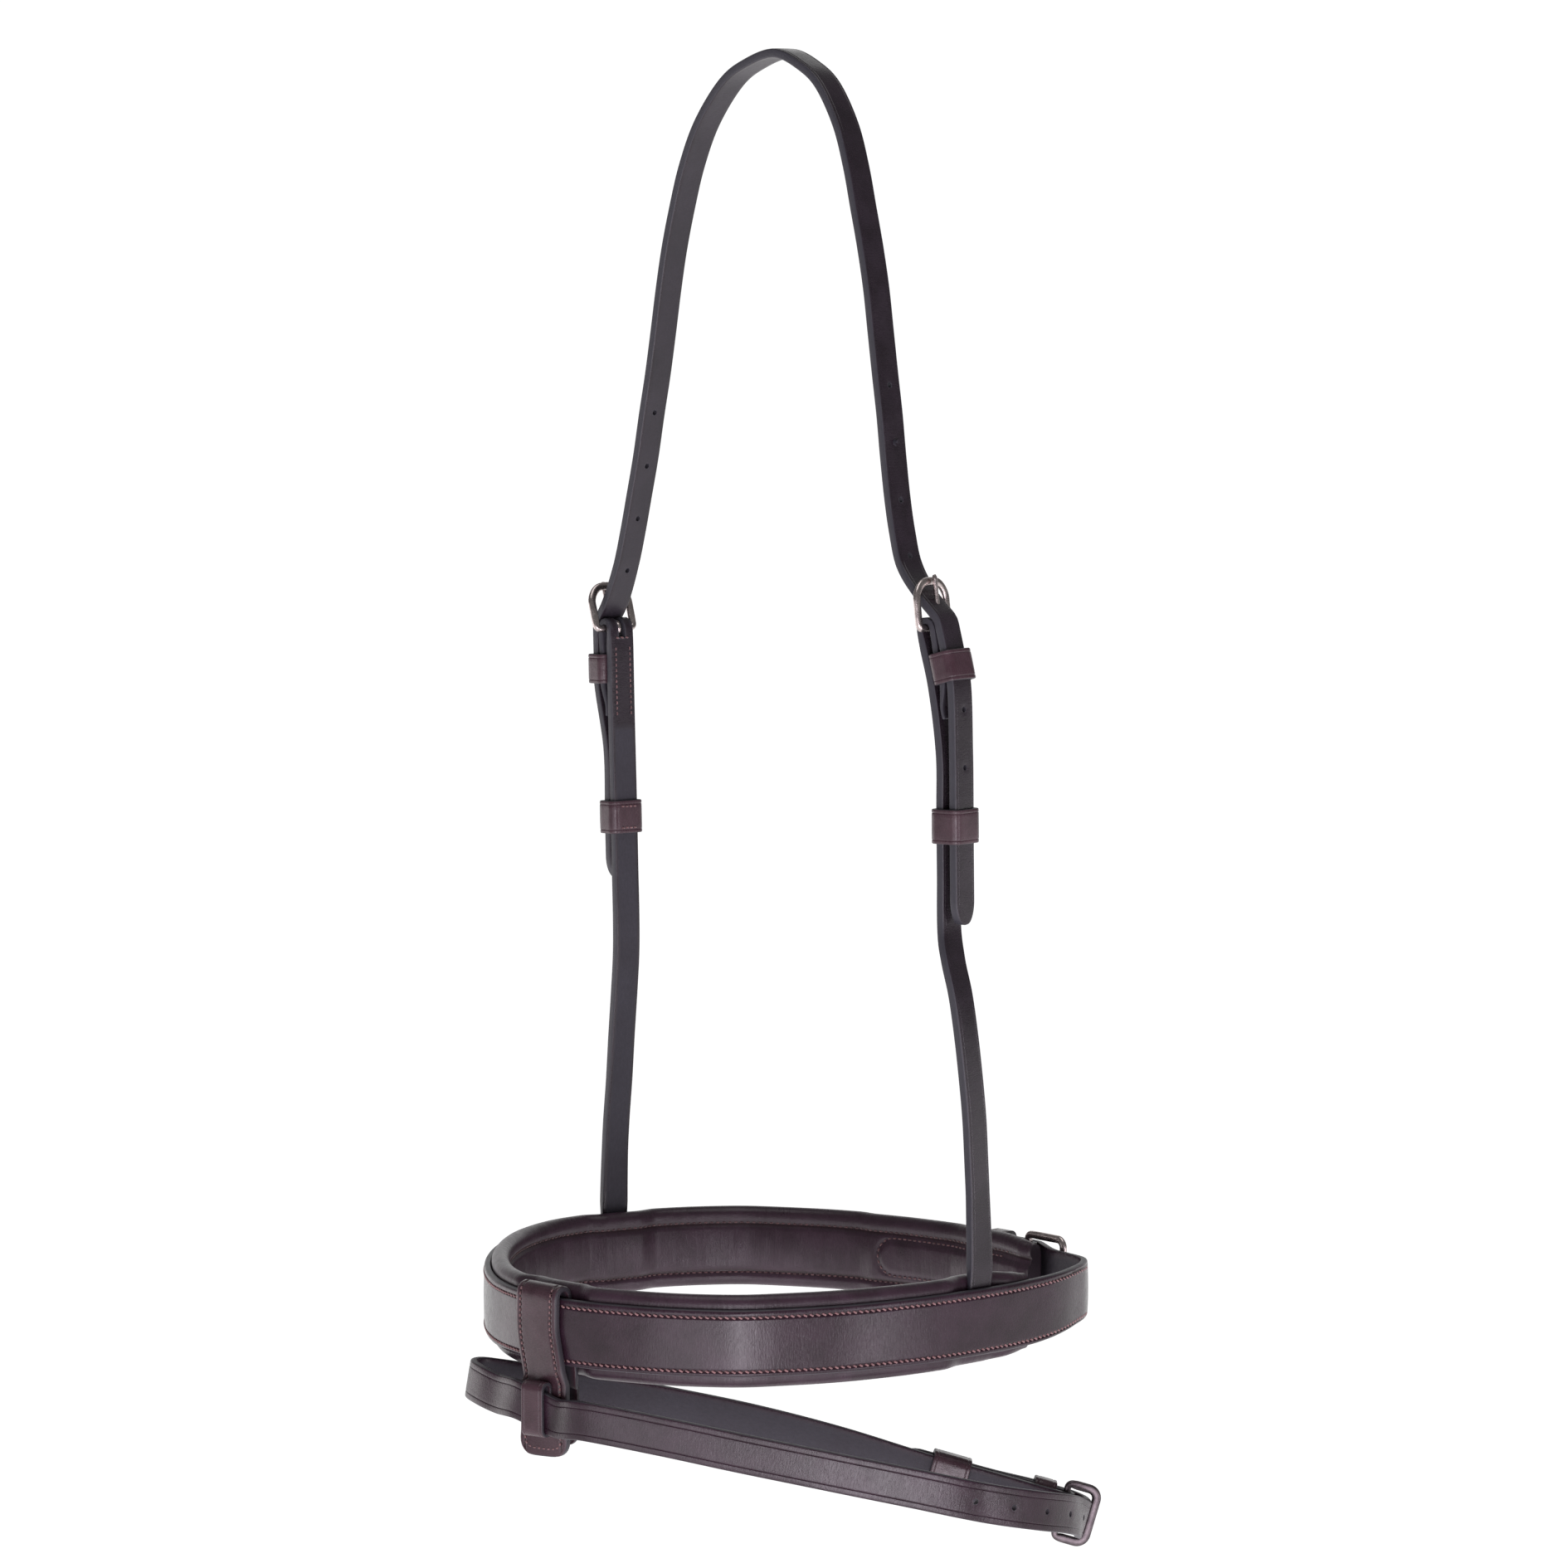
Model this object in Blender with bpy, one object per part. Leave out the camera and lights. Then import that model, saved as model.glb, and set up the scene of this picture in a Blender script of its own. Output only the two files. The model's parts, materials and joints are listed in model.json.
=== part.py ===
"""A bridle noseband: headstrap, two cheek hangers, padded noseband, and a lower flash strap.

The part hangs as it does on a horse: +Z is up, -Y is the front of the nose and +X is the
horse's near (left) side. The origin is on the underside of the headstrap's crown, where it
lies on the poll. All sizes are in metres.
"""

import math

import bmesh
import bpy
from mathutils import Matrix, Vector

# Clearances
gap = 0.0003
bar_play = 0.0008
frame_side_play = 0.0022
tongue_hole_play = 0.0008
cut_overrun = 0.0020

# Headstrap and cheek hangers
cheek_width = 0.0130
cheek_thickness = 0.0040
fold_leaf_thickness = 0.0031
fold_end_thickness = 0.0016
fold_length = 0.0400
foot_thickness = 0.0024
foot_curve_room = 0.0005
foot_depth = 0.0160
near_billet_length = 0.1290
off_billet_length = 0.1150
near_billet_gap = 0.0031
off_billet_gap = 0.0005
billet_close_length = 0.0300
straight_length = 0.1330
point_length = 0.0110
hole_pitch = 0.0250
near_hole_shift = 0.0045
hole_radius = 0.0012
holes_above_tongue = 4
holes_below_tongue = 3

# Where each cheek buckle's hinge bar is, measured from the crown
near_bar_across = 0.1006
near_bar_drop = 0.2453
off_bar_across = 0.1199
off_bar_drop = 0.2570
near_turn = math.radians(11)
off_turn = math.radians(-3)
crown_turn = math.radians(3)
near_lean = math.radians(-15)
off_lean = math.radians(2)
near_knee_drop = 0.0420
near_knee_lean = math.radians(-14.2)
near_frame_lean = math.radians(-8)
off_frame_lean = math.radians(-16)

# Cheek buckles
cheek_bar_radius = 0.0015
cheek_reach = 0.0181
near_strap_play = 0.0008
off_strap_play = 0.0040
cheek_corner = 0.0060
cheek_dome = 0.0020
tongue_radius = 0.0011

# Keepers
keeper_height = 0.0135
keeper_wall = 0.0018
keeper_corner = 0.0012
keeper_room = 0.0006
fixed_keeper_drop = 0.0183
runner_keeper_drop = 0.0862
runner_keeper_height = 0.0150

# Noseband loop, seen from above: an egg, its narrow end at the chin buckle
band_drop = 0.5454
band_centre_across = 0.0100
band_centre_forward = 0.0080
band_turn = math.radians(50)
band_tilt = math.radians(0.25)
loop_half_length = 0.1318
loop_half_width = 0.1245
band_width = 0.0290
band_thickness = 0.0030
chin_width = 0.0255
chin_rise = 0.0018
chin_turnback = 0.0850
chin_fold_thickness = 0.0022
chin_point_length = 0.0750
chin_taper_length = 0.0500
chin_bar_radius = 0.0016
chin_reach = 0.0232
chin_corner = 0.0035
chin_keeper_drop = 0.0230
chin_keeper_height = 0.0100
chin_hole_pitch = 0.0250
chin_holes_before = 1
chin_holes_beyond = 3

# Lining and padding behind the noseband strap
lining_height = 0.0385
lining_depth = 0.0080
lining_wall = 0.0013
lining_lip = 0.0080
lining_swing = 0.0400
lining_start = -0.0155
lining_taper = 0.0080
band_step = 0.0125

# Flash tab and flash strap
tab_width = 0.0250
tab_front_thickness = 0.0032
tab_back_thickness = 0.0022
tab_curve_room = 0.0014
tab_front_drop = 0.0545
tab_back_drop = 0.0500
tab_twist = math.radians(16)
tab_keeper_twist_share = 0.60
tab_shift = 0.0043
tab_keeper_height = 0.0115
tab_keeper_wall = 0.0018
tab_keeper_drop = 0.0330
flash_width = 0.0169
flash_thickness = 0.0032
flash_fold_thickness = 0.0022
flash_bar_radius = 0.0015
flash_reach = 0.0135
flash_corner = 0.0042
flash_fold_length = 0.0340
flash_fold_end_thickness = 0.0014
flash_straight_length = 0.0620
flash_billet_length = 0.0760
flash_turn_radius = 0.0095
flash_tab_straight = 0.0112
flash_tab_slope = math.radians(15)
flash_bend_lean = math.radians(9)
flash_keeper_drop = 0.0096
flash_runner_drop = 0.0520
flash_keeper_height = 0.0100
flash_runner_height = 0.0170
flash_hole_pitch = 0.0190
flash_holes = 5
flash_holes_below = 2
flash_bar_drop = 0.0850

# Places along curves, as shares of the sizes they follow, chosen by eye
crown_near_share = [(0.180, 0.017), (0.289, 0.047), (0.415, 0.120), (0.485, 0.194), (0.534, 0.267),
                    (0.582, 0.340), (0.621, 0.412), (0.649, 0.485), (0.677, 0.557), (0.708, 0.630),
                    (0.732, 0.703), (0.760, 0.776), (0.791, 0.834), (0.838, 0.892)]
crown_off_share = [(0.184, 0.011), (0.295, 0.037), (0.444, 0.108), (0.535, 0.183), (0.592, 0.254),
                   (0.639, 0.326), (0.675, 0.399), (0.705, 0.471), (0.738, 0.545), (0.776, 0.618),
                   (0.812, 0.692), (0.855, 0.765), (0.891, 0.825), (0.932, 0.884)]
near_hanger_share = [(1.128, 0.712), (1.168, 0.738), (1.191, 0.771), (1.199, 0.804), (1.198, 0.837),
                     (1.187, 0.871), (1.179, 0.900)]
off_hanger_share = [(0.939, 0.744), (0.952, 0.780), (0.967, 0.815), (0.981, 0.851),
                    (0.998, 0.886), (1.007, 0.915)]
foot_sweep_share = (0.70, 0.27)
egg_share = [(1.012, 0.0), (0.966, 0.17), (0.903, 0.295), (0.835, 0.388), (0.728, 0.512),
             (0.592, 0.645), (0.455, 0.757), (0.303, 0.853), (0.165, 0.92), (0.015, 0.968),
             (-0.129, 1.0), (-0.265, 0.992), (-0.40, 0.96), (-0.53, 0.905), (-0.64, 0.845),
             (-0.73, 0.775), (-0.845, 0.645), (-0.955, 0.39)]
chin_bar_share = 0.855
off_foot_share = -0.610
near_foot_share = 0.660
tab_share = -0.786
tab_end_share = 0.72
lining_end_share = 0.820
taper_depth_share = 0.70
taper_height_share = 0.95
chin_narrow_share = (0.15, 0.60)
flash_bar_share = (0.918, -0.465, 1.013)
flash_slope = math.radians(16)
flash_near_share = [(-0.658, -0.934, 0.411), (-0.389, -1.004, 0.472), (-0.121, -1.036, 0.552),
                    (0.147, -1.052, 0.633), (0.414, -1.045, 0.720), (0.589, -1.020, 0.785),
                    (0.684, -0.980, 0.825), (0.834, -0.867, 0.893), (0.922, -0.739, 0.948),
                    (0.966, -0.627, 0.996)]
flash_bend_share = [(-0.939, -0.643, 0.357), (-0.999, -0.562, 0.338), (-1.036, -0.465, 0.328),
                    (-1.012, -0.402, 0.335), (-0.950, -0.377, 0.353)]
flash_far_share = [(-0.673, -0.417, 0.407), (-0.412, -0.465, 0.465), (-0.124, -0.498, 0.548),
                   (0.151, -0.510, 0.655)]

STRAP_LEATHER = ("strap_leather", (0.060, 0.034, 0.040), 0.45, 0.0)
LINING_LEATHER = ("lining_leather", (0.070, 0.040, 0.046), 0.55, 0.0)
FELT = ("padding_felt", (0.30, 0.27, 0.24), 0.95, 0.0)
STEEL = ("stainless_steel", (0.70, 0.68, 0.65), 0.25, 1.0)


def clear_scene():
    """Remove what the new file starts with."""
    for thing in list(bpy.data.objects):
        bpy.data.objects.remove(thing)


def material(look):
    """One Principled material for each look, shared by name."""
    name, colour, roughness, metallic = look
    made = bpy.data.materials.get(name) or bpy.data.materials.new(name)
    made.use_nodes = True
    shader = made.node_tree.nodes["Principled BSDF"]
    shader.inputs["Base Color"].default_value = (*colour, 1.0)
    shader.inputs["Roughness"].default_value = roughness
    shader.inputs["Metallic"].default_value = metallic
    return made


def add_object(name, bm, look, origin=None):
    """Turn a bmesh in world space into a smooth-shaded object with its origin at a point."""
    bmesh.ops.recalc_face_normals(bm, faces=bm.faces)
    if bm.calc_volume(signed=True) < 0:
        bmesh.ops.reverse_faces(bm, faces=bm.faces)
    place = Vector(origin) if origin is not None else Vector((0, 0, 0))
    bmesh.ops.translate(bm, verts=bm.verts, vec=-place)
    mesh = bpy.data.meshes.new(name)
    bm.to_mesh(mesh)
    bm.free()
    mesh.shade_smooth()
    mesh.set_sharp_from_angle(angle=math.radians(35))
    made = bpy.data.objects.new(name, mesh)
    made.location = place
    bpy.context.scene.collection.objects.link(made)
    if look:
        mesh.materials.append(material(look))
    return made


def cut(target, cutter):
    """Take the cutter's shape out of the target."""
    cutter.hide_render = True
    cutter.display_type = "WIRE"
    boolean = target.modifiers.new(cutter.name, "BOOLEAN")
    boolean.operation = "DIFFERENCE"
    boolean.solver = "EXACT"
    boolean.object = cutter


class Station:
    """One cross-section of a strap: its centre, the way its width runs, and its two sizes."""

    def __init__(self, centre, across, width, thickness):
        self.centre = Vector(centre)
        self.across = Vector(across).normalized()
        self.width = width
        self.thickness = thickness

    def moved(self, matrix):
        turn = matrix.to_3x3()
        return Station(matrix @ self.centre, turn @ self.across, self.width, self.thickness)


def spline_point(p0, p1, p2, p3, share):
    """A point between p1 and p2 on a centripetal Catmull-Rom curve."""
    knots = [0.0]
    for a, b in ((p0, p1), (p1, p2), (p2, p3)):
        knots.append(knots[-1] + max((b - a).length, 1e-9) ** 0.5)
    t0, t1, t2, t3 = knots
    t = t1 + (t2 - t1) * share
    a1 = p0 * ((t1 - t) / (t1 - t0)) + p1 * ((t - t0) / (t1 - t0))
    a2 = p1 * ((t2 - t) / (t2 - t1)) + p2 * ((t - t1) / (t2 - t1))
    a3 = p2 * ((t3 - t) / (t3 - t2)) + p3 * ((t - t2) / (t3 - t2))
    b1 = a1 * ((t2 - t) / (t2 - t0)) + a2 * ((t - t0) / (t2 - t0))
    b2 = a2 * ((t3 - t) / (t3 - t1)) + a3 * ((t - t1) / (t3 - t1))
    return b1 * ((t2 - t) / (t2 - t1)) + b2 * ((t - t1) / (t2 - t1))


def smooth_points(points, step):
    """A smooth line through the points, with more of them where they lie further apart."""
    ends = [points[0] * 2 - points[1], *points, points[-1] * 2 - points[-2]]
    line, shares = [], []
    for i in range(len(points) - 1):
        count = max(1, round((points[i + 1] - points[i]).length / step))
        for k in range(count):
            line.append(spline_point(*ends[i:i + 4], k / count))
            shares.append(i + k / count)
    return [*line, points[-1].copy()], [*shares, float(len(points) - 1)]


def refine(controls, step):
    """Stations along a smooth curve through the control stations."""
    points, shares = smooth_points([s.centre for s in controls], step)
    made = []
    for point, share in zip(points, shares):
        i = min(int(share), len(controls) - 2)
        a, b, part = controls[i], controls[i + 1], share - i
        made.append(Station(point, a.across.lerp(b.across, part),
                            a.width + (b.width - a.width) * part,
                            a.thickness + (b.thickness - a.thickness) * part))
    return made


def tangents(stations, closed=False):
    """The way the strap runs at each station."""
    count = len(stations)
    made = []
    for i in range(count):
        before = stations[i - 1] if closed or i > 0 else stations[i]
        after = stations[(i + 1) % count] if closed or i < count - 1 else stations[i]
        made.append((after.centre - before.centre).normalized())
    return made


def strap_sections(stations, closed=False, chamfer_share=0.14):
    """Chamfered rectangles, square to the strap."""
    rings = []
    for station, along in zip(stations, tangents(stations, closed)):
        across = (station.across - along * station.across.dot(along)).normalized()
        out = along.cross(across)
        w, t = station.width / 2, station.thickness / 2
        c = min(station.thickness, station.width) * chamfer_share
        corners = [(w, t - c), (w - c, t), (c - w, t), (-w, t - c),
                   (-w, c - t), (c - w, -t), (w - c, -t), (w, c - t)]
        rings.append([station.centre + across * a + out * b for a, b in corners])
    return rings


def skin(rings, closed=False):
    """A closed body through rings that all have as many points."""
    bm = bmesh.new()
    rows = [[bm.verts.new(p) for p in ring] for ring in rings]
    pairs = list(zip(rows, rows[1:]))
    if closed:
        pairs.append((rows[-1], rows[0]))
    for a, b in pairs:
        for i in range(len(a)):
            j = (i + 1) % len(a)
            bm.faces.new((a[i], a[j], b[j], b[i]))
    if not closed:
        bm.faces.new(rows[0])
        bm.faces.new(rows[-1])
    return bm


def strap(name, stations, look=STRAP_LEATHER, closed=False, origin=None):
    """A strap of leather along the stations."""
    return add_object(name, skin(strap_sections(stations, closed), closed), look, origin)


def tube_sections(points, radius, side_hint, closed=False, sides=8, tip_shares=()):
    """Round sections along points, drawn in at the far end by the tip shares."""
    stations = [Station(p, side_hint, radius, radius) for p in points]
    rings = []
    count = len(points)
    for i, (station, along) in enumerate(zip(stations, tangents(stations, closed))):
        left = (station.across - along * station.across.dot(along)).normalized()
        up = along.cross(left)
        from_end = count - 1 - i
        size = radius * (tip_shares[from_end] if from_end < len(tip_shares) else 1.0)
        ring = []
        for k in range(sides):
            angle = math.tau * (k + 0.5) / sides
            ring.append(station.centre + (left * math.cos(angle) + up * math.sin(angle)) * size)
        rings.append(ring)
    return rings


def arc(centre_a, centre_b, radius, start, end, count):
    """Pairs along a circle from one angle to another."""
    angles = [start + (end - start) * i / count for i in range(count + 1)]
    return [(centre_a + radius * math.cos(a), centre_b + radius * math.sin(a)) for a in angles]


def rounded_rectangle(half_a, low_b, high_b, low_corner, high_corner, dome=0.0, steps=3):
    """Pairs round a rectangle whose high side may bow outward."""
    quarter = math.pi / 2
    line = arc(half_a - high_corner, high_b - high_corner, high_corner, 0, quarter, steps)
    if dome:
        line.append((0.0, high_b + dome))
    line += arc(high_corner - half_a, high_b - high_corner, high_corner, quarter, 2 * quarter, steps)
    line += arc(low_corner - half_a, low_b + low_corner, low_corner, 2 * quarter, 3 * quarter, steps)
    line += arc(half_a - low_corner, low_b + low_corner, low_corner, 3 * quarter, 4 * quarter, steps)
    return line


class Buckle:
    """The sizes that a buckle's frame, tongue, folded leather and strap share.

    In a buckle's own axes the hinge bar lies along Y through the origin, X points to the outer
    side of the straps, and the folded leather hangs down -Z from the bar. The frame reaches up.
    """

    def __init__(self, matrix, strap_width, strap_thickness, leaf, bar_radius, reach, corner,
                 dome=0.0, frame_lean=0.0, knee=0.0, knee_lean=0.0, far_play=bar_play):
        self.matrix = matrix
        self.strap_width = strap_width
        self.strap_thickness = strap_thickness
        self.leaf = leaf
        self.bar_radius = bar_radius
        self.reach = reach
        self.corner = corner
        self.dome = dome
        self.frame_lean = frame_lean
        self.knee = knee
        bend = Matrix.Rotation(-knee_lean, 4, "Y")
        self.low_matrix = matrix @ Matrix.Translation((0, 0, -knee)) @ bend
        self.leaf_offset = bar_radius + gap + leaf / 2
        self.billet_offset = bar_radius + gap + leaf + gap + strap_thickness / 2
        self.far_offset = bar_radius + far_play + strap_thickness / 2
        self.shank_offset = bar_radius + gap + tongue_radius
        self.crossing = math.asin(min(0.95, (self.billet_offset + self.far_offset) / reach))

    def place(self, out, up, side=0.0):
        """A point from the buckle's own axes, which bend at the knee below the buckle."""
        if up < -self.knee:
            return self.low_matrix @ Vector((out, side, up + self.knee))
        return self.matrix @ Vector((out, side, up))

    def leaned(self, out, up):
        """Turn a pair from the frame's plane to the straps' plane."""
        c, s = math.cos(self.frame_lean), math.sin(self.frame_lean)
        return out * c - up * s, out * s + up * c

    def side(self):
        return (self.matrix.to_3x3() @ Vector((0, 1, 0))).normalized()

    def station(self, out, up, width, thickness):
        return Station(self.place(out, up), self.side(), width, thickness)

    def fold_arc(self, count=8):
        """The leather's middle line round the bar, from its inner leaf to its outer leaf."""
        return arc(0, 0, self.leaf_offset, math.pi, 0, count)

    def crossing_points(self, steps=5):
        """The strap's middle line over the hinge bar and inside the far bar."""
        top = self.crossing + self.frame_lean
        line = arc(0, 0, self.billet_offset, 0, top, steps)
        c, s = math.cos(self.crossing), math.sin(self.crossing)
        line.append(self.leaned(-self.far_offset * c, self.reach - self.far_offset * s))
        return line

    def tongue_crossing(self):
        """Where the strap's middle line meets the tongue's."""
        c, s = math.cos(self.crossing), math.sin(self.crossing)
        run = (self.billet_offset * c - self.shank_offset) / s
        return self.leaned(self.shank_offset, self.billet_offset * s + c * run)


def frame_path(buckle):
    """The line of a buckle frame's rod, in its own plane."""
    half = buckle.strap_width / 2 + frame_side_play + buckle.bar_radius
    low = buckle.bar_radius * 1.2
    return rounded_rectangle(half, 0.0, buckle.reach, low, buckle.corner, buckle.dome)


def add_frame(name, buckle):
    """A rod bent into a frame, its hinge bar in the folded leather."""
    points = []
    for side, up in frame_path(buckle):
        out, lifted = buckle.leaned(0.0, up)
        points.append(buckle.place(out, lifted, side))
    out, lifted = buckle.leaned(1.0, 0.0)
    plane_normal = buckle.matrix.to_3x3() @ Vector((out, 0, lifted))
    rings = tube_sections(points, buckle.bar_radius, plane_normal, closed=True)
    return add_object(name, skin(rings, closed=True), STEEL, buckle.place(0, 0))


def tongue_line(buckle):
    """The tongue's middle line: a hook round the bar, then a shank to the far bar."""
    q = buckle.shank_offset
    line = arc(0, 0, q, math.radians(-255), 0, 10)
    for share in (0.25, 0.5, 0.75, 0.95, 1.08):
        line.append((q, (buckle.reach + buckle.dome) * share))
    return [buckle.leaned(*pair) for pair in line]


def add_tongue(name, buckle):
    """A round tongue that hinges on the bar."""
    points = [buckle.place(*pair) for pair in tongue_line(buckle)]
    rings = tube_sections(points, tongue_radius, buckle.side(), tip_shares=(0.55, 0.95))
    return add_object(name, skin(rings), STEEL, buckle.place(0, 0))


def add_tube_to(bm, start, end, radius, side_hint, sides=8):
    """Add a closed straight tube to a bmesh."""
    rings = tube_sections([start, end], radius, side_hint, sides=sides)
    rows = [[bm.verts.new(p) for p in ring] for ring in rings]
    for i in range(sides):
        j = (i + 1) % sides
        bm.faces.new((rows[0][i], rows[0][j], rows[1][j], rows[1][i]))
    bm.faces.new(rows[0])
    bm.faces.new(rows[1])


def add_tongue_hole_to(bm, buckle):
    """The hole that the tongue's shank goes through, slanted as the tongue is."""
    q = buckle.shank_offset
    start = buckle.place(*buckle.leaned(q, 0.0))
    end = buckle.place(*buckle.leaned(q, buckle.reach - buckle.bar_radius))
    add_tube_to(bm, start, end, tongue_radius + tongue_hole_play, buckle.side())


def add_punched_hole_to(bm, stations, index, part):
    """A punched hole at a share of the way between two stations."""
    a, b = stations[index], stations[index + 1]
    centre = a.centre.lerp(b.centre, part)
    along = (b.centre - a.centre).normalized()
    out = along.cross(a.across).normalized() * (a.thickness / 2 + cut_overrun)
    add_tube_to(bm, centre - out, centre + out, hole_radius, a.across)


def add_slot(target, buckle):
    """The slot in the folded leather that the tongue's hook turns in."""
    half_side = tongue_radius + gap + gap
    out = buckle.leaf_offset + (buckle.leaf + gap) / 2
    low = -(buckle.shank_offset + tongue_radius + gap)
    bm = bmesh.new()
    bmesh.ops.create_cube(bm, size=1.0)
    for vert in bm.verts:
        vert.co = buckle.place(vert.co.x * 2 * out, low + (vert.co.z + 0.5) * (out - low),
                               vert.co.y * 2 * half_side)
    cut(target, add_object(target.name + "_slot_cutter", bm, None))


def add_ring(name, matrix, half_side, low_out, high_out, wall, height, up=0.0):
    """A keeper: a band of leather bent into a closed loop round the straps."""
    line = rounded_rectangle(half_side + wall / 2, low_out - wall / 2, high_out + wall / 2,
                             keeper_corner, keeper_corner + wall / 2)
    way = matrix.to_3x3() @ Vector((0, 0, 1))
    stations = [Station(matrix @ Vector((out, side, up)), way, height, wall)
                for side, out in line]
    centre = matrix @ Vector(((low_out + high_out) / 2, 0, up))
    return strap(name, stations, closed=True, origin=centre)


def index_at(stations, distance):
    """The span and the share of it where a length along the stations is reached."""
    for i in range(len(stations) - 1):
        span = (stations[i + 1].centre - stations[i].centre).length
        if distance <= span:
            return i, distance / span
        distance -= span
    return len(stations) - 2, 1.0


def length_to(stations, point):
    """The length along the stations to the place nearest a point."""
    best, run, found = None, 0.0, 0.0
    for a, b in zip(stations, stations[1:]):
        span = b.centre - a.centre
        share = max(0.0, min(1.0, (point - a.centre).dot(span) / span.length_squared))
        away = (a.centre + span * share - point).length
        if best is None or away < best:
            best, found = away, run + span.length * share
        run += span.length
    return found


def tapered_point(stations, width, length):
    """Draw the last stretch of a strap in to a rounded point."""
    end = stations[-1].centre
    for station in stations:
        left = (station.centre - end).length
        if left < length:
            share = left / length
            station.width = width * (0.35 + 0.65 * math.sin(share * math.pi / 2))
    return stations


# The cheek assemblies

def side_matrix(across, drop, turn, lean):
    place = Matrix.Translation((across, 0, -drop))
    return place @ Matrix.Rotation(turn, 4, "Z") @ Matrix.Rotation(lean, 4, "Y")


def cheek_buckle(matrix, far_play, frame_lean, knee=0.0, knee_lean=0.0):
    return Buckle(matrix, cheek_width, cheek_thickness, fold_leaf_thickness, cheek_bar_radius,
                  cheek_reach, cheek_corner, cheek_dome, frame_lean, knee, knee_lean, far_play)


near_buckle = cheek_buckle(side_matrix(near_bar_across, near_bar_drop, near_turn, near_lean),
                           near_strap_play, near_frame_lean, near_knee_drop, near_knee_lean)
off_buckle = cheek_buckle(side_matrix(-off_bar_across, off_bar_drop, math.pi + off_turn, off_lean),
                          off_strap_play, off_frame_lean)
hanger_face = cheek_thickness / 2 - near_buckle.leaf_offset
fixed_keeper_low = hanger_face + gap
leaf_at_keeper = fixed_keeper_low + keeper_wall + gap + fold_leaf_thickness / 2
billet_high = max(near_buckle.billet_offset,
                  leaf_at_keeper + fold_leaf_thickness / 2 + gap + cheek_thickness / 2)
leaf_at_end = hanger_face + gap + fold_end_thickness / 2
keeper_end = fixed_keeper_drop + keeper_height / 2


def billet_low(rest_gap):
    """How far out the billet's middle is where it rests along the hanger."""
    return hanger_face + rest_gap + cheek_thickness / 2


def billet_stations(buckle, length, rest_gap):
    """The billet from its point up to the far bar."""
    closed_at = keeper_end + billet_close_length
    low = billet_low(rest_gap)
    line = [(low, -length), (low, point_length - length), (low, -(length + closed_at) / 2),
            (low, -closed_at), (billet_high, gap - keeper_end), (billet_high, -keeper_end * 0.6),
            (billet_high, -keeper_end * 0.25)]
    return [buckle.station(*pair, cheek_width, cheek_thickness)
            for pair in line + buckle.crossing_points()]


def crown_stations():
    """The headstrap's arch, from above the near buckle to above the off buckle."""
    side = Matrix.Rotation(crown_turn, 3, "Z") @ Vector((0, 1, 0))
    line = [Vector((near_bar_across * a, 0, -near_bar_drop * d))
            for a, d in reversed(crown_near_share)]
    line.append(Vector((0, 0, cheek_thickness / 2)))
    line += [Vector((-off_bar_across * a, 0, -off_bar_drop * d)) for a, d in crown_off_share]
    return [Station(p, side, cheek_width, cheek_thickness) for p in line]


def headstrap_stations():
    near = billet_stations(near_buckle, near_billet_length, near_billet_gap)
    off = billet_stations(off_buckle, off_billet_length, off_billet_gap)
    for station in off:
        station.across = -station.across
    return refine(near + crown_stations() + off[::-1], cheek_width * 0.65)


def make_headstrap():
    """The sliphead: one strap over the poll, a billet with holes at each end."""
    stations = headstrap_stations()
    tapered_point(stations, cheek_width, point_length)
    tapered_point(stations[::-1], cheek_width, point_length)
    made = strap("headstrap", stations)
    bm = bmesh.new()
    for buckle, way, shift in ((near_buckle, 1, near_hole_shift), (off_buckle, -1, 0.0)):
        add_tongue_hole_to(bm, buckle)
        start = length_to(stations, buckle.place(*buckle.tongue_crossing())) + way * shift
        for k in range(-holes_below_tongue, holes_above_tongue + 1):
            if k:
                add_punched_hole_to(bm, stations, *index_at(stations, start + way * k * hole_pitch))
    cut(made, add_object("headstrap_hole_cutter", bm, None))
    return made


# The noseband's loop

loop_matrix = (Matrix.Translation((band_centre_across, -band_centre_forward, -band_drop))
               @ Matrix.Rotation(band_turn, 4, "Z") @ Matrix.Rotation(band_tilt, 4, "X"))


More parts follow.
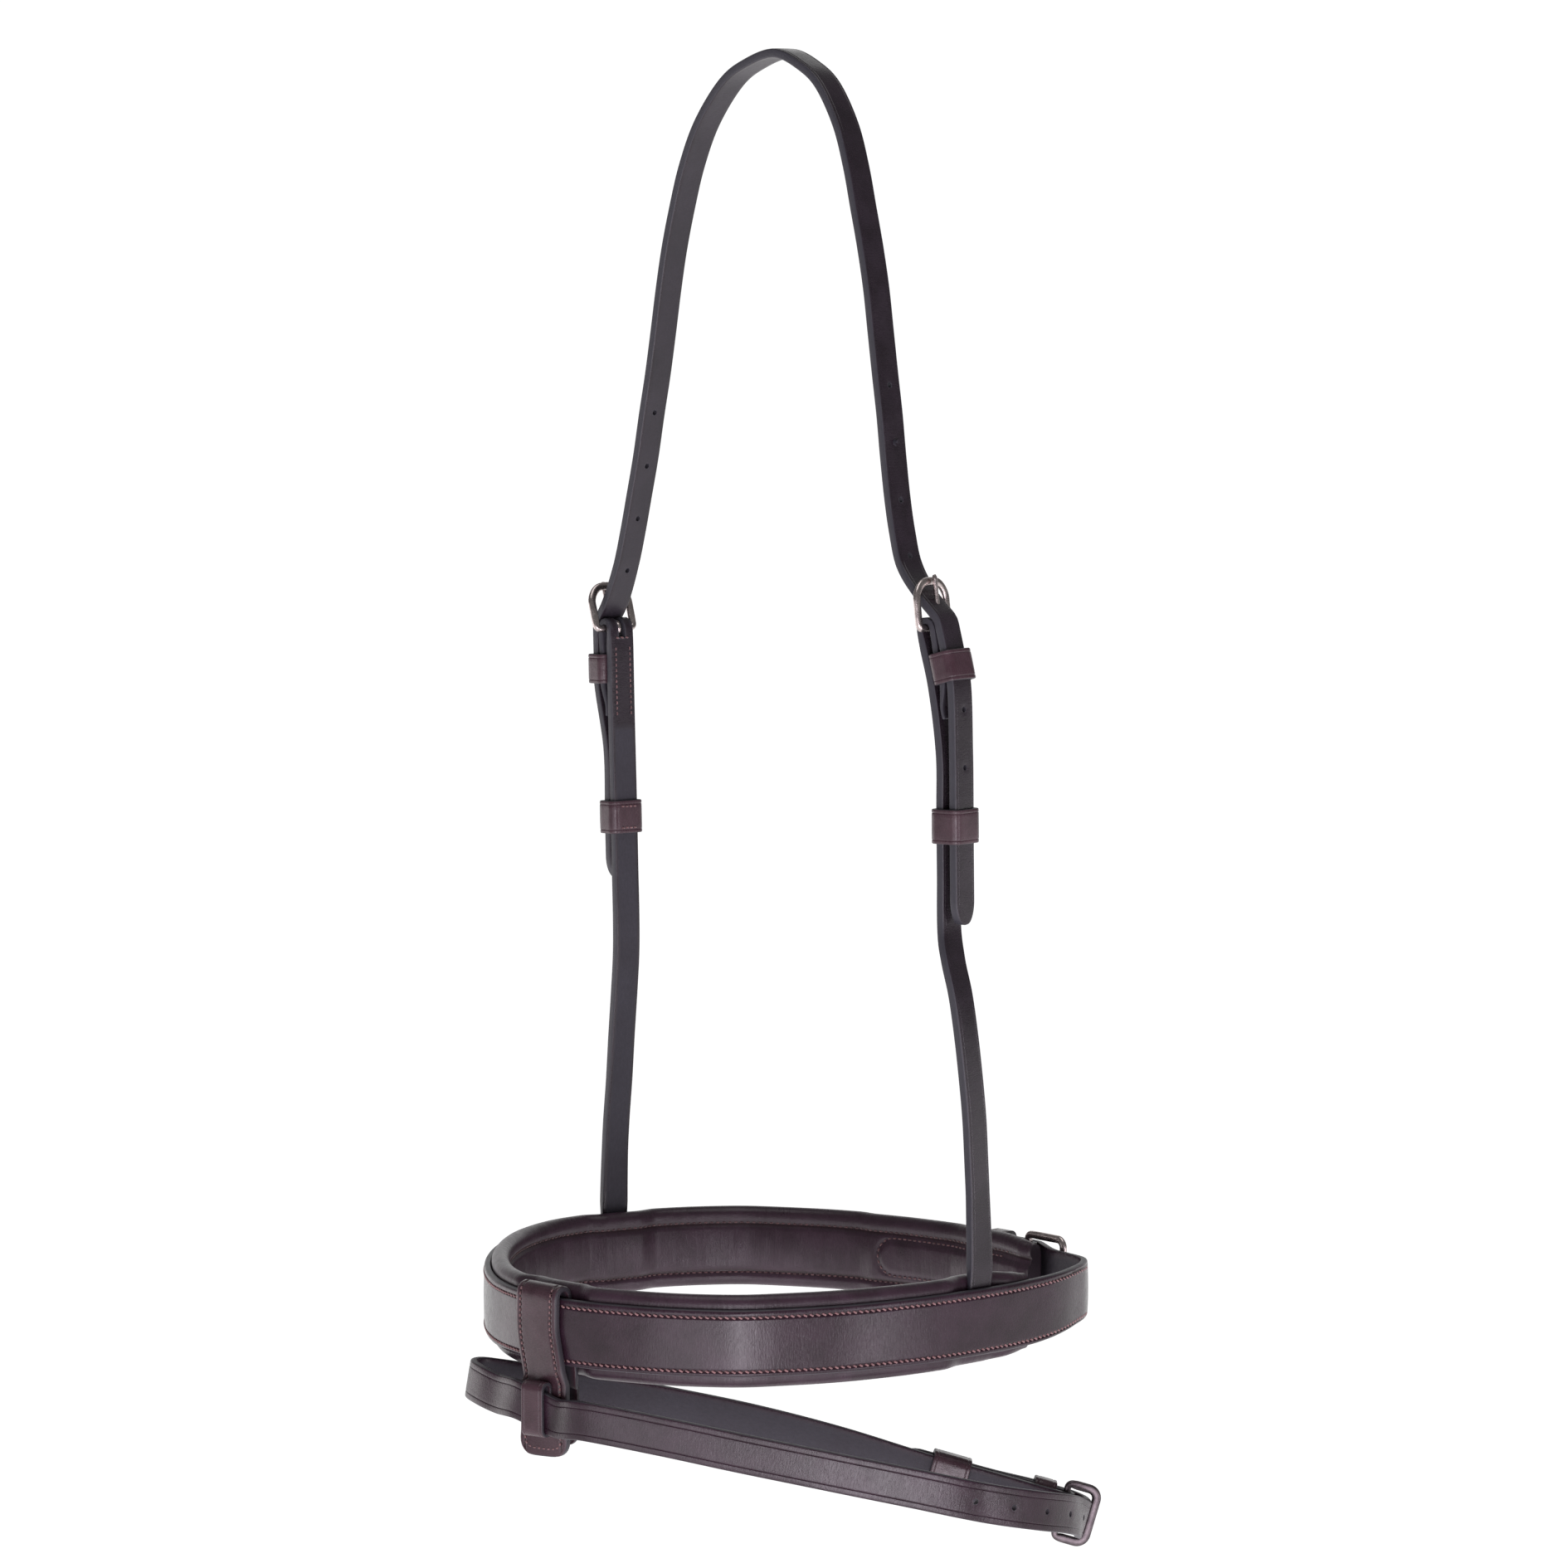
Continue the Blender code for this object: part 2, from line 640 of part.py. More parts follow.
class Loop:
    """The noseband strap's middle line, and lengths along it from the chin buckle's bar."""

    def __init__(self):
        near = [(a, -b) for a, b in reversed(egg_share[1:])]
        pairs = egg_share + [(-1.0, 0.0)] + near
        ring = [Vector((a * loop_half_length, b * loop_half_width, 0)) for a, b in pairs]
        wrapped = [ring[-2], ring[-1], *ring, ring[0], ring[1], ring[2]]
        line = []
        for i in range(len(ring)):
            for k in range(8):
                line.append(spline_point(*wrapped[i + 1:i + 5], k / 8))
        self.points = line
        self.lengths = [0.0]
        for a, b in zip(line, [*line[1:], line[0]]):
            self.lengths.append(self.lengths[-1] + (b - a).length)
        self.total = self.lengths[-1]
        self.start = 0.0
        self.start = self.at_share(chin_bar_share, far=True)

    def raw(self, length):
        length = length % self.total
        for i in range(len(self.points)):
            if self.lengths[i + 1] >= length:
                part = (length - self.lengths[i]) / (self.lengths[i + 1] - self.lengths[i])
                return self.points[i].lerp(self.points[(i + 1) % len(self.points)], part)
        return self.points[0].copy()

    def at_share(self, share, far):
        """The length at which the loop passes a share of its half length, on one side."""
        target = share * loop_half_length
        count = len(self.points)
        order = range(count // 2) if far else range(count - 1, count // 2, -1)
        for i in order:
            a, b = self.points[i], self.points[(i + 1) % count]
            if min(a.x, b.x) <= target <= max(a.x, b.x):
                part = (target - a.x) / (b.x - a.x)
                span = self.lengths[i + 1] - self.lengths[i]
                return (self.lengths[i] + span * part - self.start) % self.total
        return 0.0

    def along(self, length):
        step = band_thickness
        a = self.raw(self.start + length - step)
        b = self.raw(self.start + length + step)
        return (b - a).normalized()

    def out(self, length):
        way = self.along(length)
        return Vector((way.y, -way.x, 0))

    def point(self, length, offset=0.0, lift=0.0):
        """A point in the part's own axes."""
        place = self.raw(self.start + length) + self.out(length) * offset + Vector((0, 0, lift))
        return loop_matrix @ place

    def frame(self, length, offset=0.0, lift=0.0, reverse=False):
        """Axes on the loop: X outward, Y up, Z along it (or back along it)."""
        turn = loop_matrix.to_3x3()
        out = turn @ self.out(length)
        way = turn @ self.along(length)
        if reverse:
            way = -way
        up = way.cross(out)
        matrix = Matrix((out, up, way)).transposed().to_4x4()
        matrix.translation = self.point(length, offset, lift)
        return matrix


loop = Loop()
tab_at = loop.at_share(tab_share, far=False)
near_foot_at = loop.at_share(near_foot_share, far=False)
off_foot_at = loop.at_share(off_foot_share, far=True)
lining_end = loop.at_share(lining_end_share, far=False)
chin_leaf_offset = chin_bar_radius + gap + chin_fold_thickness / 2
chin_buckle = Buckle(loop.frame(0.0, -chin_leaf_offset, chin_rise, reverse=True), chin_width,
                     band_thickness, chin_fold_thickness, chin_bar_radius, chin_reach, chin_corner)
chin_leaf_at_keeper = -(band_thickness / 2 + gap + keeper_wall + gap + chin_fold_thickness / 2)
chin_leaf_closed = -(band_thickness / 2 + gap + chin_fold_thickness / 2)
chin_keeper_end = chin_keeper_drop + chin_keeper_height / 2
chin_close_length = 0.0140
lining_ease_length = 0.0120
UP = Vector((0, 0, 1))
foot_half = cheek_width / 2


def ease(share):
    share = max(0.0, min(1.0, share))
    return share * share * (3 - 2 * share)


def chin_leaf_place(length):
    """The turned-back leaf's offset behind the strap, at a length from the bar."""
    if length < chin_keeper_end:
        part = max(0.0, length) / chin_keeper_end
        return -2 * chin_leaf_offset * (1 - part) + chin_leaf_at_keeper * part
    part = ease((length - chin_keeper_end) / chin_close_length)
    return chin_leaf_at_keeper * (1 - part) + chin_leaf_closed * part


def room_behind(length):
    """How far the lining stands off the strap's back, for what lies between them."""
    room = 0.0
    for place, thickness, half in ((tab_at, tab_back_thickness + tab_curve_room, tab_width / 2),
                                   (near_foot_at, foot_thickness + foot_curve_room, foot_half),
                                   (off_foot_at, foot_thickness + foot_curve_room, foot_half)):
        beyond = abs(length - place) - half - cut_overrun
        room = max(room, (thickness + gap) * ease(1 - beyond / lining_ease_length))
    leaf_back = -(chin_leaf_place(length) - chin_fold_thickness / 2) - band_thickness / 2
    beyond = length - chin_turnback - cut_overrun
    return max(room, leaf_back * ease(1 - beyond / lining_ease_length))


def make_band_marks():
    """Lengths along the loop where the strap, the lining and the padding have sections."""
    count = round((lining_end - lining_start) / band_step)
    marks = [lining_start + (lining_end - lining_start) * i / count for i in range(count + 1)]
    for place, half in ((tab_at, tab_width / 2), (near_foot_at, foot_half), (off_foot_at, foot_half)):
        for side in (-1, 1):
            marks.append(place + side * (half + cut_overrun))
    marks.sort()
    kept = marks[:1]
    for mark in marks[1:]:
        if mark - kept[-1] > band_step / 3:
            kept.append(mark)
    kept[-1] = lining_end
    return kept


band_marks = make_band_marks()


def section_along_loop(name, profile, look, start_trim=0.0):
    """Sweep a profile of (behind, up) pairs along the loop, behind the strap."""
    rings = []
    marks = list(band_marks)
    marks[0] += start_trim
    marks[-1] -= start_trim
    for length in marks:
        front = -(band_thickness / 2 + gap + room_behind(length))
        taper = ease(min(lining_end - length, length - lining_start) / lining_taper)
        deep = taper_depth_share + (1 - taper_depth_share) * taper
        high = taper_height_share + (1 - taper_height_share) * taper
        high *= 1 - lining_swing * loop.raw(loop.start + length).y / loop_half_width
        rings.append([loop.point(length, front - behind * deep, up * high)
                      for behind, up in profile])
    return add_object(name, skin(rings), look)


def lining_profile():
    """A C of thin leather, its top and bottom rolled forward over the padding."""
    radius = lining_depth / 2
    inner = radius - lining_wall
    high = lining_height / 2 - radius
    lip = lining_height / 2 - lining_lip
    quarter = math.pi / 2
    outside = [(0.0, lip)] + arc(radius, high, radius, 2 * quarter, 0, 4)
    outside += arc(radius, -high, radius, 0, -2 * quarter, 4) + [(0.0, -lip)]
    inside = [(lining_wall, -lip)] + arc(radius, -high, inner, -2 * quarter, 0, 3)
    inside += arc(radius, high, inner, 0, 2 * quarter, 3) + [(lining_wall, lip)]
    return outside + inside


def padding_profile():
    """A felt strip that fills the lining and meets the strap between its two lips."""
    back = lining_depth - lining_wall - gap
    front = lining_wall + gap
    high = lining_height / 2 - lining_wall - lining_depth / 4
    lip = lining_height / 2 - lining_lip - gap
    half = [(0.0, lip), (front, lip), (front, high - lining_wall), (front + lining_wall, high),
            (back - lining_wall, high), (back, high - lining_wall)]
    return half + [(behind, -up) for behind, up in reversed(half)]


def band_stations():
    """The noseband strap: turned-back leaf, fold, the long run round, and the point."""
    turn = loop_matrix.to_3x3() @ UP
    controls = []

    def add(length, offset, width, thickness):
        lift = chin_rise * (band_width - width) / (band_width - chin_width)
        controls.append(Station(loop.point(length, offset, lift), turn, width, thickness))

    full = chin_keeper_end + chin_taper_length
    narrow_from = near_foot_at + (loop.total - near_foot_at) * chin_narrow_share[0]
    narrow_to = near_foot_at + (loop.total - near_foot_at) * chin_narrow_share[1]

    def width_at(length):
        part = min((length - chin_keeper_end) / chin_taper_length,
                   (narrow_to - length) / (narrow_to - narrow_from))
        return chin_width + (band_width - chin_width) * ease(part)

    leaf_marks = [m for m in band_marks if chin_keeper_end + chin_close_length < m < chin_turnback]
    back = [chin_turnback, *leaf_marks[::-1], chin_keeper_end + chin_close_length,
            chin_keeper_end + chin_close_length / 2, chin_keeper_end, chin_keeper_end / 2]
    for length in back:
        add(length, chin_leaf_place(length), chin_width, chin_fold_thickness)
    for out, up in chin_buckle.fold_arc():
        controls.append(Station(chin_buckle.place(out, up), turn, chin_width, chin_fold_thickness))
    add(chin_keeper_end / 2, 0.0, chin_width, band_thickness)
    add(chin_keeper_end, 0.0, chin_width, band_thickness)
    for length in band_marks:
        if length > chin_keeper_end + band_step / 2:
            add(length, 0.0, width_at(length), band_thickness)
    frame_starts = loop.total - chin_reach * 2
    count = round((frame_starts - lining_end) / band_step)
    for i in range(1, count + 1):
        length = lining_end + (frame_starts - lining_end) * i / count
        add(length, 0.0, width_at(length), band_thickness)
    before = (-chin_buckle.far_offset * 1.25, chin_reach * 1.35)
    for out, up in [before] + chin_buckle.crossing_points()[::-1]:
        controls.append(Station(chin_buckle.place(out, up), turn, chin_width, band_thickness))
    over = band_thickness + gap * 1.5
    for share in (0.16, 0.3, 0.45, 0.6, 0.75, 0.9, 1.0):
        add(chin_point_length * share, over, chin_width, band_thickness)
    return refine(controls, band_step * 1.2)


def make_band():
    """The noseband's outer strap."""
    stations = band_stations()
    tapered_point(stations, chin_width, point_length)
    tapered_point(stations[::-1], chin_width, point_length)
    made = strap("noseband_strap", stations)
    add_slot(made, chin_buckle)
    bm = bmesh.new()
    add_tongue_hole_to(bm, chin_buckle)
    total = sum((b.centre - a.centre).length for a, b in zip(stations, stations[1:]))
    crossing = total - chin_point_length - chin_reach / 2
    for k in range(-chin_holes_before, chin_holes_beyond + 1):
        place = crossing + k * chin_hole_pitch
        if k and place < total - point_length:
            add_punched_hole_to(bm, stations, *index_at(stations, place))
    cut(made, add_object("noseband_hole_cutter", bm, None))
    return made


def make_hanger(name, buckle, sign, across_size, shares, foot_at):
    """A cheek hanger: its foot behind the noseband strap, its top folded round the bar."""
    foot_offset = -(band_thickness / 2 + gap + foot_curve_room + foot_thickness / 2)
    foot_way = loop.frame(foot_at).to_3x3() @ Vector((0, 0, 1))
    if foot_way.dot(buckle.side()) < 0:
        foot_way = -foot_way
    half_band = lining_height / 2
    controls = [Station(loop.point(foot_at, foot_offset, half_band + foot_depth * share), foot_way,
                        cheek_width, thickness)
                for share, thickness in ((-1.0, foot_thickness), (-0.6, foot_thickness),
                                         (-0.25, foot_thickness), (0.25, cheek_thickness))]
    begin, span = foot_sweep_share
    for a, d in shares[::-1]:
        forward = loop.point(foot_at).y * ease((d - begin) / span)
        controls.append(Station(Vector((sign * across_size * a, forward, -band_drop * d)),
                                buckle.side(), cheek_width, cheek_thickness))
    leaf = -buckle.leaf_offset
    below_knee = -max(buckle.knee, keeper_end) - keeper_height
    for up in (-straight_length, -straight_length * 0.8, -straight_length * 0.6, below_knee,
               -keeper_end, -keeper_end / 3):
        controls.append(buckle.station(leaf, up, cheek_width, cheek_thickness))
    for out, up in buckle.fold_arc():
        controls.append(buckle.station(out, up, cheek_width, fold_leaf_thickness))
    for out, up, thickness in ((leaf_at_keeper, -keeper_end / 2, fold_leaf_thickness),
                               (leaf_at_keeper, -keeper_end, fold_leaf_thickness),
                               (leaf_at_end, -(keeper_end + fold_length * 2) / 3, fold_end_thickness),
                               (leaf_at_end, -fold_length, fold_end_thickness)):
        controls.append(buckle.station(out, up, cheek_width, thickness))
    made = strap(name, refine(controls, 0.0120))
    add_slot(made, buckle)
    return made


def make_cheek(prefix, buckle, sign, across_size, shares, foot_at, rest_gap):
    """A hanger with its buckle and its two keepers."""
    make_hanger(prefix + "_cheek_hanger", buckle, sign, across_size, shares, foot_at)
    add_frame(prefix + "_buckle_frame", buckle)
    add_tongue(prefix + "_buckle_tongue", buckle)
    half = cheek_width / 2 + keeper_room
    add_ring(prefix + "_fixed_keeper", buckle.matrix, half, fixed_keeper_low + keeper_wall,
             billet_high + cheek_thickness / 2 + keeper_room, keeper_wall, keeper_height,
             -fixed_keeper_drop)
    inner_face = -buckle.leaf_offset - cheek_thickness / 2 - gap
    add_ring(prefix + "_runner_keeper", buckle.low_matrix, half, inner_face,
             billet_low(rest_gap) + cheek_thickness / 2 + gap, keeper_wall, runner_keeper_height,
             buckle.knee - runner_keeper_drop)


# The flash tab and strap

tab_matrix = loop.frame(tab_at)
tab_front = band_thickness / 2 + gap + tab_front_thickness / 2
tab_back = -(band_thickness / 2 + gap + tab_curve_room + tab_back_thickness / 2)
tab_face = tab_front + tab_front_thickness / 2
flash_out = tab_face + gap + tab_keeper_wall + gap + flash_thickness / 2
twist_top = -lining_height / 2
tab_keeper_half = keeper_room + (flash_width * math.cos(flash_tab_slope)
                                 + tab_keeper_height * math.sin(flash_tab_slope)) / 2
tab_keeper_top = -tab_keeper_drop + tab_keeper_half
tab_keeper_low = -tab_keeper_drop - tab_keeper_half


def twist_at(up):
    """How much of its twist the tab has at a height: none on the noseband, all at its end."""
    first = ease((twist_top - up) / (twist_top - tab_keeper_top + gap))
    last = ease((tab_keeper_low - up) / (tab_front_drop + tab_keeper_low))
    return tab_keeper_twist_share * first + (1 - tab_keeper_twist_share) * last


def tab_frame(out, up):
    """Axes on the tab, whose foot is drawn sideways: X outward, Y down, Z along the noseband."""
    axes = tab_matrix.to_3x3().to_4x4()
    aside = axes.col[2].to_3d() * tab_shift * ease(up / tab_keeper_top)
    pivot = tab_matrix.translation + axes.col[0].to_3d() * tab_front + UP * up + aside
    turn = Matrix.Rotation(tab_twist * twist_at(up), 4, "Z")
    return Matrix.Translation(pivot) @ turn @ axes @ Matrix.Translation((out - tab_front, 0, 0))


def make_tab():
    """The tab: folded over the strap's top edge, both legs hanging below the noseband."""
    controls = []

    def add(out, up, thickness):
        frame = tab_frame(out, up)
        controls.append(Station(frame.translation, frame.col[2].to_3d(), tab_width, thickness))

    top = band_width / 2 + gap
    below = (tab_keeper_low, -tab_keeper_drop, tab_keeper_top, twist_top)
    for up in (-tab_back_drop, point_length / 2 - tab_back_drop, *below, 0.0, top - band_thickness):
        add(tab_back, up, tab_back_thickness)
    middle = (tab_front + tab_back) / 2
    for out, up in arc(middle, top, (tab_front - tab_back) / 2, math.pi, 0, 6):
        share = (out - tab_back) / (tab_front - tab_back)
        add(out, up, tab_back_thickness + (tab_front_thickness - tab_back_thickness) * share)
    for up in (top - band_thickness, 0.0, *below[::-1], point_length / 2 - tab_front_drop,
               -tab_front_drop):
        add(tab_front, up, tab_front_thickness)
    stations = refine(controls, tab_width / 3)
    for end in (stations[0], stations[-1]):
        end.width *= tab_end_share
    return strap("flash_tab", stations)


def make_tab_keeper():
    """The loop on the tab's front that carries the flash strap."""
    high = flash_out + flash_thickness / 2 + keeper_room - tab_face
    frame = tab_frame(tab_face, -tab_keeper_drop)
    return add_ring("flash_tab_keeper", frame, tab_keeper_half, gap + tab_keeper_wall, high,
                    tab_keeper_wall, tab_keeper_height)


def flash_place(a, b, drop):
    """A point given as shares of the noseband's loop and of the flash buckle's drop."""
    return loop_matrix @ Vector((a * loop_half_length, b * loop_half_width, -drop * flash_bar_drop))


flash_axes = Matrix(((0, 0, 1, 0), (1, 0, 0, 0), (0, 1, 0, 0), (0, 0, 0, 1)))
flash_matrix = (Matrix.Translation(flash_place(*flash_bar_share)) @ loop_matrix.to_3x3().to_4x4()
                @ Matrix.Rotation(flash_slope, 4, "Y") @ flash_axes)
flash_buckle = Buckle(flash_matrix, flash_width, flash_thickness, flash_fold_thickness,
                      flash_bar_radius, flash_reach, flash_corner)
flash_main = flash_fold_thickness / 2 - flash_thickness / 2 - flash_buckle.leaf_offset
flash_face = flash_main + flash_thickness / 2
flash_leaf_at_keeper = flash_face + gap + keeper_wall + gap + flash_fold_thickness / 2
flash_keeper_end = flash_keeper_drop + flash_keeper_height / 2
flash_billet_high = max(flash_buckle.billet_offset,
                        flash_leaf_at_keeper + flash_fold_thickness / 2 + gap + flash_thickness / 2)
flash_billet_low = flash_face + gap + flash_fold_end_thickness + gap + flash_thickness / 2
flash_leaf_end = flash_face + gap + flash_fold_end_thickness / 2


def flash_stations():
    """The flash strap: turned-back leaf, fold, far run, bend, tab, near run, point."""
    buckle = flash_buckle
    width, leaf, thick = flash_width, flash_fold_thickness, flash_thickness
    line = []

    def add(out, up, thickness):
        line.append(buckle.station(out, up, width, thickness))

    add(flash_leaf_end, -flash_fold_length, flash_fold_end_thickness)
    add(flash_leaf_end, -(flash_fold_length * 2 + flash_keeper_end) / 3, flash_fold_end_thickness)
    add(flash_leaf_at_keeper, -flash_keeper_end, leaf)
    add(flash_leaf_at_keeper, -flash_keeper_end / 2, leaf)
    for out, up in buckle.fold_arc()[::-1]:
        add(out, up, leaf)
    for up in (-flash_keeper_end / 2, -flash_keeper_end, -flash_fold_length, -flash_straight_length):
        add(flash_main, up, thick)
    for shares in flash_far_share[::-1]:
        line.append(Station(flash_place(*shares), UP, width, thick))
    lean = UP + loop_matrix.col[0].to_3d() * math.tan(flash_bend_lean)
    for shares in flash_bend_share[::-1]:
        line.append(Station(flash_place(*shares), lean, width, thick))
    way = (tab_frame(flash_out, -tab_keeper_drop)
           @ Matrix.Rotation(-flash_tab_slope, 4, "X"))
    for side in (-1, 0, 1):
        place = way @ Vector((0, 0, side * flash_tab_straight))
        line.append(Station(place, -way.col[1].to_3d(), width, thick))
    for shares in flash_near_share:
        line.append(Station(flash_place(*shares), UP, width, thick))
    turn_centre = flash_billet_high - flash_turn_radius
    add(turn_centre - flash_turn_radius / 2, flash_turn_radius, thick)
    for out, up in arc(turn_centre, 0, flash_turn_radius, math.pi / 2, 0, 6):
        add(out, up, thick)
    add(flash_billet_high, -flash_keeper_end / 2, thick)
    add(flash_billet_high, -flash_keeper_end, thick)
    closed_at = (flash_keeper_end + flash_runner_drop) / 2
    for up in (-closed_at, -(closed_at + flash_billet_length) / 2, point_length - flash_billet_length,
               -flash_billet_length):
        add(flash_billet_low, up, thick)
    return refine(line, 0.0110)


def make_flash():
    """The flash strap with its buckle and keepers."""
    stations = flash_stations()
    tapered_point(stations, flash_width, point_length)
    made = strap("flash_strap", stations)
    add_slot(made, flash_buckle)
    bm = bmesh.new()
    add_tongue_hole_to(bm, flash_buckle)
    total = sum((b.centre - a.centre).length for a, b in zip(stations, stations[1:]))
    crossing = total - flash_billet_length - flash_turn_radius
    for k in range(-flash_holes, flash_holes_below + 1):
        if k:
            add_punched_hole_to(bm, stations, *index_at(stations, crossing + k * flash_hole_pitch))
    cut(made, add_object("flash_hole_cutter", bm, None))
    half = flash_width / 2 + gap
    add_ring("flash_fixed_keeper", flash_buckle.matrix, half, flash_face + gap + keeper_wall,
             flash_billet_high + flash_thickness / 2 + gap, keeper_wall, flash_keeper_height,
             -flash_keeper_drop)
    add_ring("flash_runner_keeper", flash_buckle.matrix, half,
             flash_main - flash_thickness / 2 - gap,
             flash_billet_low + flash_thickness / 2 + gap, keeper_wall, flash_runner_height,
             -flash_runner_drop)
    add_frame("flash_buckle_frame", flash_buckle)
    add_tongue("flash_buckle_tongue", flash_buckle)


clear_scene()
make_headstrap()
make_cheek("near", near_buckle, 1, near_bar_across, near_hanger_share, near_foot_at,
           near_billet_gap)
make_cheek("off", off_buckle, -1, off_bar_across, off_hanger_share, off_foot_at,
           off_billet_gap)
make_band()
section_along_loop("noseband_lining", lining_profile(), LINING_LEATHER)
section_along_loop("noseband_padding", padding_profile(), FELT, gap)
add_frame("chin_buckle_frame", chin_buckle)
add_tongue("chin_buckle_tongue", chin_buckle)
chin_keeper_frame = loop.frame(chin_keeper_drop, 0.0, chin_rise, reverse=True)
add_ring("chin_keeper", chin_keeper_frame, chin_width / 2 + gap, -(band_thickness / 2 + gap),
         band_thickness * 1.5 + gap * 3, keeper_wall, chin_keeper_height)
make_tab()
make_tab_keeper()
make_flash()
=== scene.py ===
"""The looks of the bridle noseband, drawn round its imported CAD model.

The straps follow the same lines as the CAD solids, with rounded edges, creases, punched
holes and real stitches. +Z is up, -Y is the front of the nose, +X is the horse's near side,
and the origin is under the headstrap's crown. All sizes are in metres.
"""

import bisect
import json
import math
import random

import bmesh
import bpy
from mathutils import Matrix, Vector, noise

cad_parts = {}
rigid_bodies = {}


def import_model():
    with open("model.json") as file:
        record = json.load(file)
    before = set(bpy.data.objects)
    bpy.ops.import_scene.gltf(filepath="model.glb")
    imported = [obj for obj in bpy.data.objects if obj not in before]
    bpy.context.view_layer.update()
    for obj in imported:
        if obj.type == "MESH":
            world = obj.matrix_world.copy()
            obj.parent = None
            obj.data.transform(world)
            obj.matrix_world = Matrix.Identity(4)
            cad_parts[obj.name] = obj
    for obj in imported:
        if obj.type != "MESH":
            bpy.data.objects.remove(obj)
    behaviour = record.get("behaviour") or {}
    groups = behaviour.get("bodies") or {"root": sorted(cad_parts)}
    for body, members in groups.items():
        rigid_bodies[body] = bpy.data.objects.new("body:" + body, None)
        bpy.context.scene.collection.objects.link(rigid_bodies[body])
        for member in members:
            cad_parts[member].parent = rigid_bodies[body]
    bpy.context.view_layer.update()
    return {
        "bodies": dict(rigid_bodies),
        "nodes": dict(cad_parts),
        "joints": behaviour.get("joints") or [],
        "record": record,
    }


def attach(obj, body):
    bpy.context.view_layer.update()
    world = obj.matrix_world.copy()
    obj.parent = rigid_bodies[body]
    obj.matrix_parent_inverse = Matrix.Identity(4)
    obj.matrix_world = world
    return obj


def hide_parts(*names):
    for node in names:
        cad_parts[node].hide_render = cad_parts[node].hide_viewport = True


# Clearances
gap = 0.0003
bar_play = 0.0008
frame_side_play = 0.0022
cut_overrun = 0.0020

# Headstrap and cheek hangers
cheek_width = 0.0130
cheek_thickness = 0.0040
fold_leaf_thickness = 0.0031
fold_end_thickness = 0.0016
fold_length = 0.0400
foot_thickness = 0.0024
foot_curve_room = 0.0005
foot_depth = 0.0160
near_billet_length = 0.1290
off_billet_length = 0.1150
near_billet_gap = 0.0031
off_billet_gap = 0.0005
billet_close_length = 0.0300
straight_length = 0.1330
point_length = 0.0110
hole_pitch = 0.0250
near_hole_shift = 0.0045
hole_radius = 0.0012
holes_above_tongue = 4
holes_below_tongue = 3

# Where each cheek buckle's hinge bar is, measured from the crown
near_bar_across = 0.1006
near_bar_drop = 0.2453
off_bar_across = 0.1199
off_bar_drop = 0.2570
near_turn = math.radians(11)
off_turn = math.radians(-3)
crown_turn = math.radians(3)
near_lean = math.radians(-15)
off_lean = math.radians(2)
near_knee_drop = 0.0420
near_knee_lean = math.radians(-14.2)
near_frame_lean = math.radians(-8)
off_frame_lean = math.radians(-16)

# Cheek buckles
cheek_bar_radius = 0.0015
cheek_reach = 0.0181
near_strap_play = 0.0008
off_strap_play = 0.0040
cheek_corner = 0.0060
cheek_dome = 0.0020
tongue_radius = 0.0011

# Keepers
keeper_height = 0.0135
keeper_wall = 0.0018
keeper_corner = 0.0012
keeper_room = 0.0006
fixed_keeper_drop = 0.0183
runner_keeper_drop = 0.0862
runner_keeper_height = 0.0150

# Noseband loop, seen from above: an egg, its narrow end at the chin buckle
band_drop = 0.5454
band_centre_across = 0.0100
band_centre_forward = 0.0080
band_turn = math.radians(50)
band_tilt = math.radians(0.25)
loop_half_length = 0.1318
loop_half_width = 0.1245
band_width = 0.0290
band_thickness = 0.0030
chin_width = 0.0255
chin_rise = 0.0018
chin_turnback = 0.0850
chin_fold_thickness = 0.0022
chin_point_length = 0.0750
chin_taper_length = 0.0500
chin_bar_radius = 0.0016
chin_reach = 0.0232
chin_corner = 0.0035
chin_keeper_drop = 0.0230
chin_keeper_height = 0.0100
chin_hole_pitch = 0.0250
chin_holes_before = 1
chin_holes_beyond = 3
chin_plain_length = 0.0300

# Lining and padding behind the noseband strap
lining_height = 0.0385
lining_depth = 0.0080
lining_lip = 0.0080
lining_swing = 0.0400
turnback_half = 0.0088
lining_start = -0.0155
lining_taper = 0.0080
band_step = 0.0125

# Flash tab and flash strap
tab_width = 0.0250
tab_front_thickness = 0.0032
tab_back_thickness = 0.0022
tab_curve_room = 0.0014
tab_front_drop = 0.0545
tab_back_drop = 0.0500
tab_twist = math.radians(16)
tab_keeper_twist_share = 0.60
tab_shift = 0.0043
tab_keeper_height = 0.0115
tab_keeper_wall = 0.0018
tab_keeper_drop = 0.0330
flash_width = 0.0169
flash_thickness = 0.0032
flash_fold_thickness = 0.0022
flash_bar_radius = 0.0015
flash_reach = 0.0135
flash_corner = 0.0042
flash_fold_length = 0.0340
flash_fold_end_thickness = 0.0014
flash_straight_length = 0.0620
flash_billet_length = 0.0760
flash_turn_radius = 0.0095
flash_tab_straight = 0.0112
flash_tab_slope = math.radians(15)
flash_bend_lean = math.radians(9)
flash_keeper_drop = 0.0096
flash_runner_drop = 0.0520
flash_keeper_height = 0.0100
flash_runner_height = 0.0170
flash_hole_pitch = 0.0190
flash_holes = 5
flash_holes_below = 2
flash_bar_drop = 0.0850

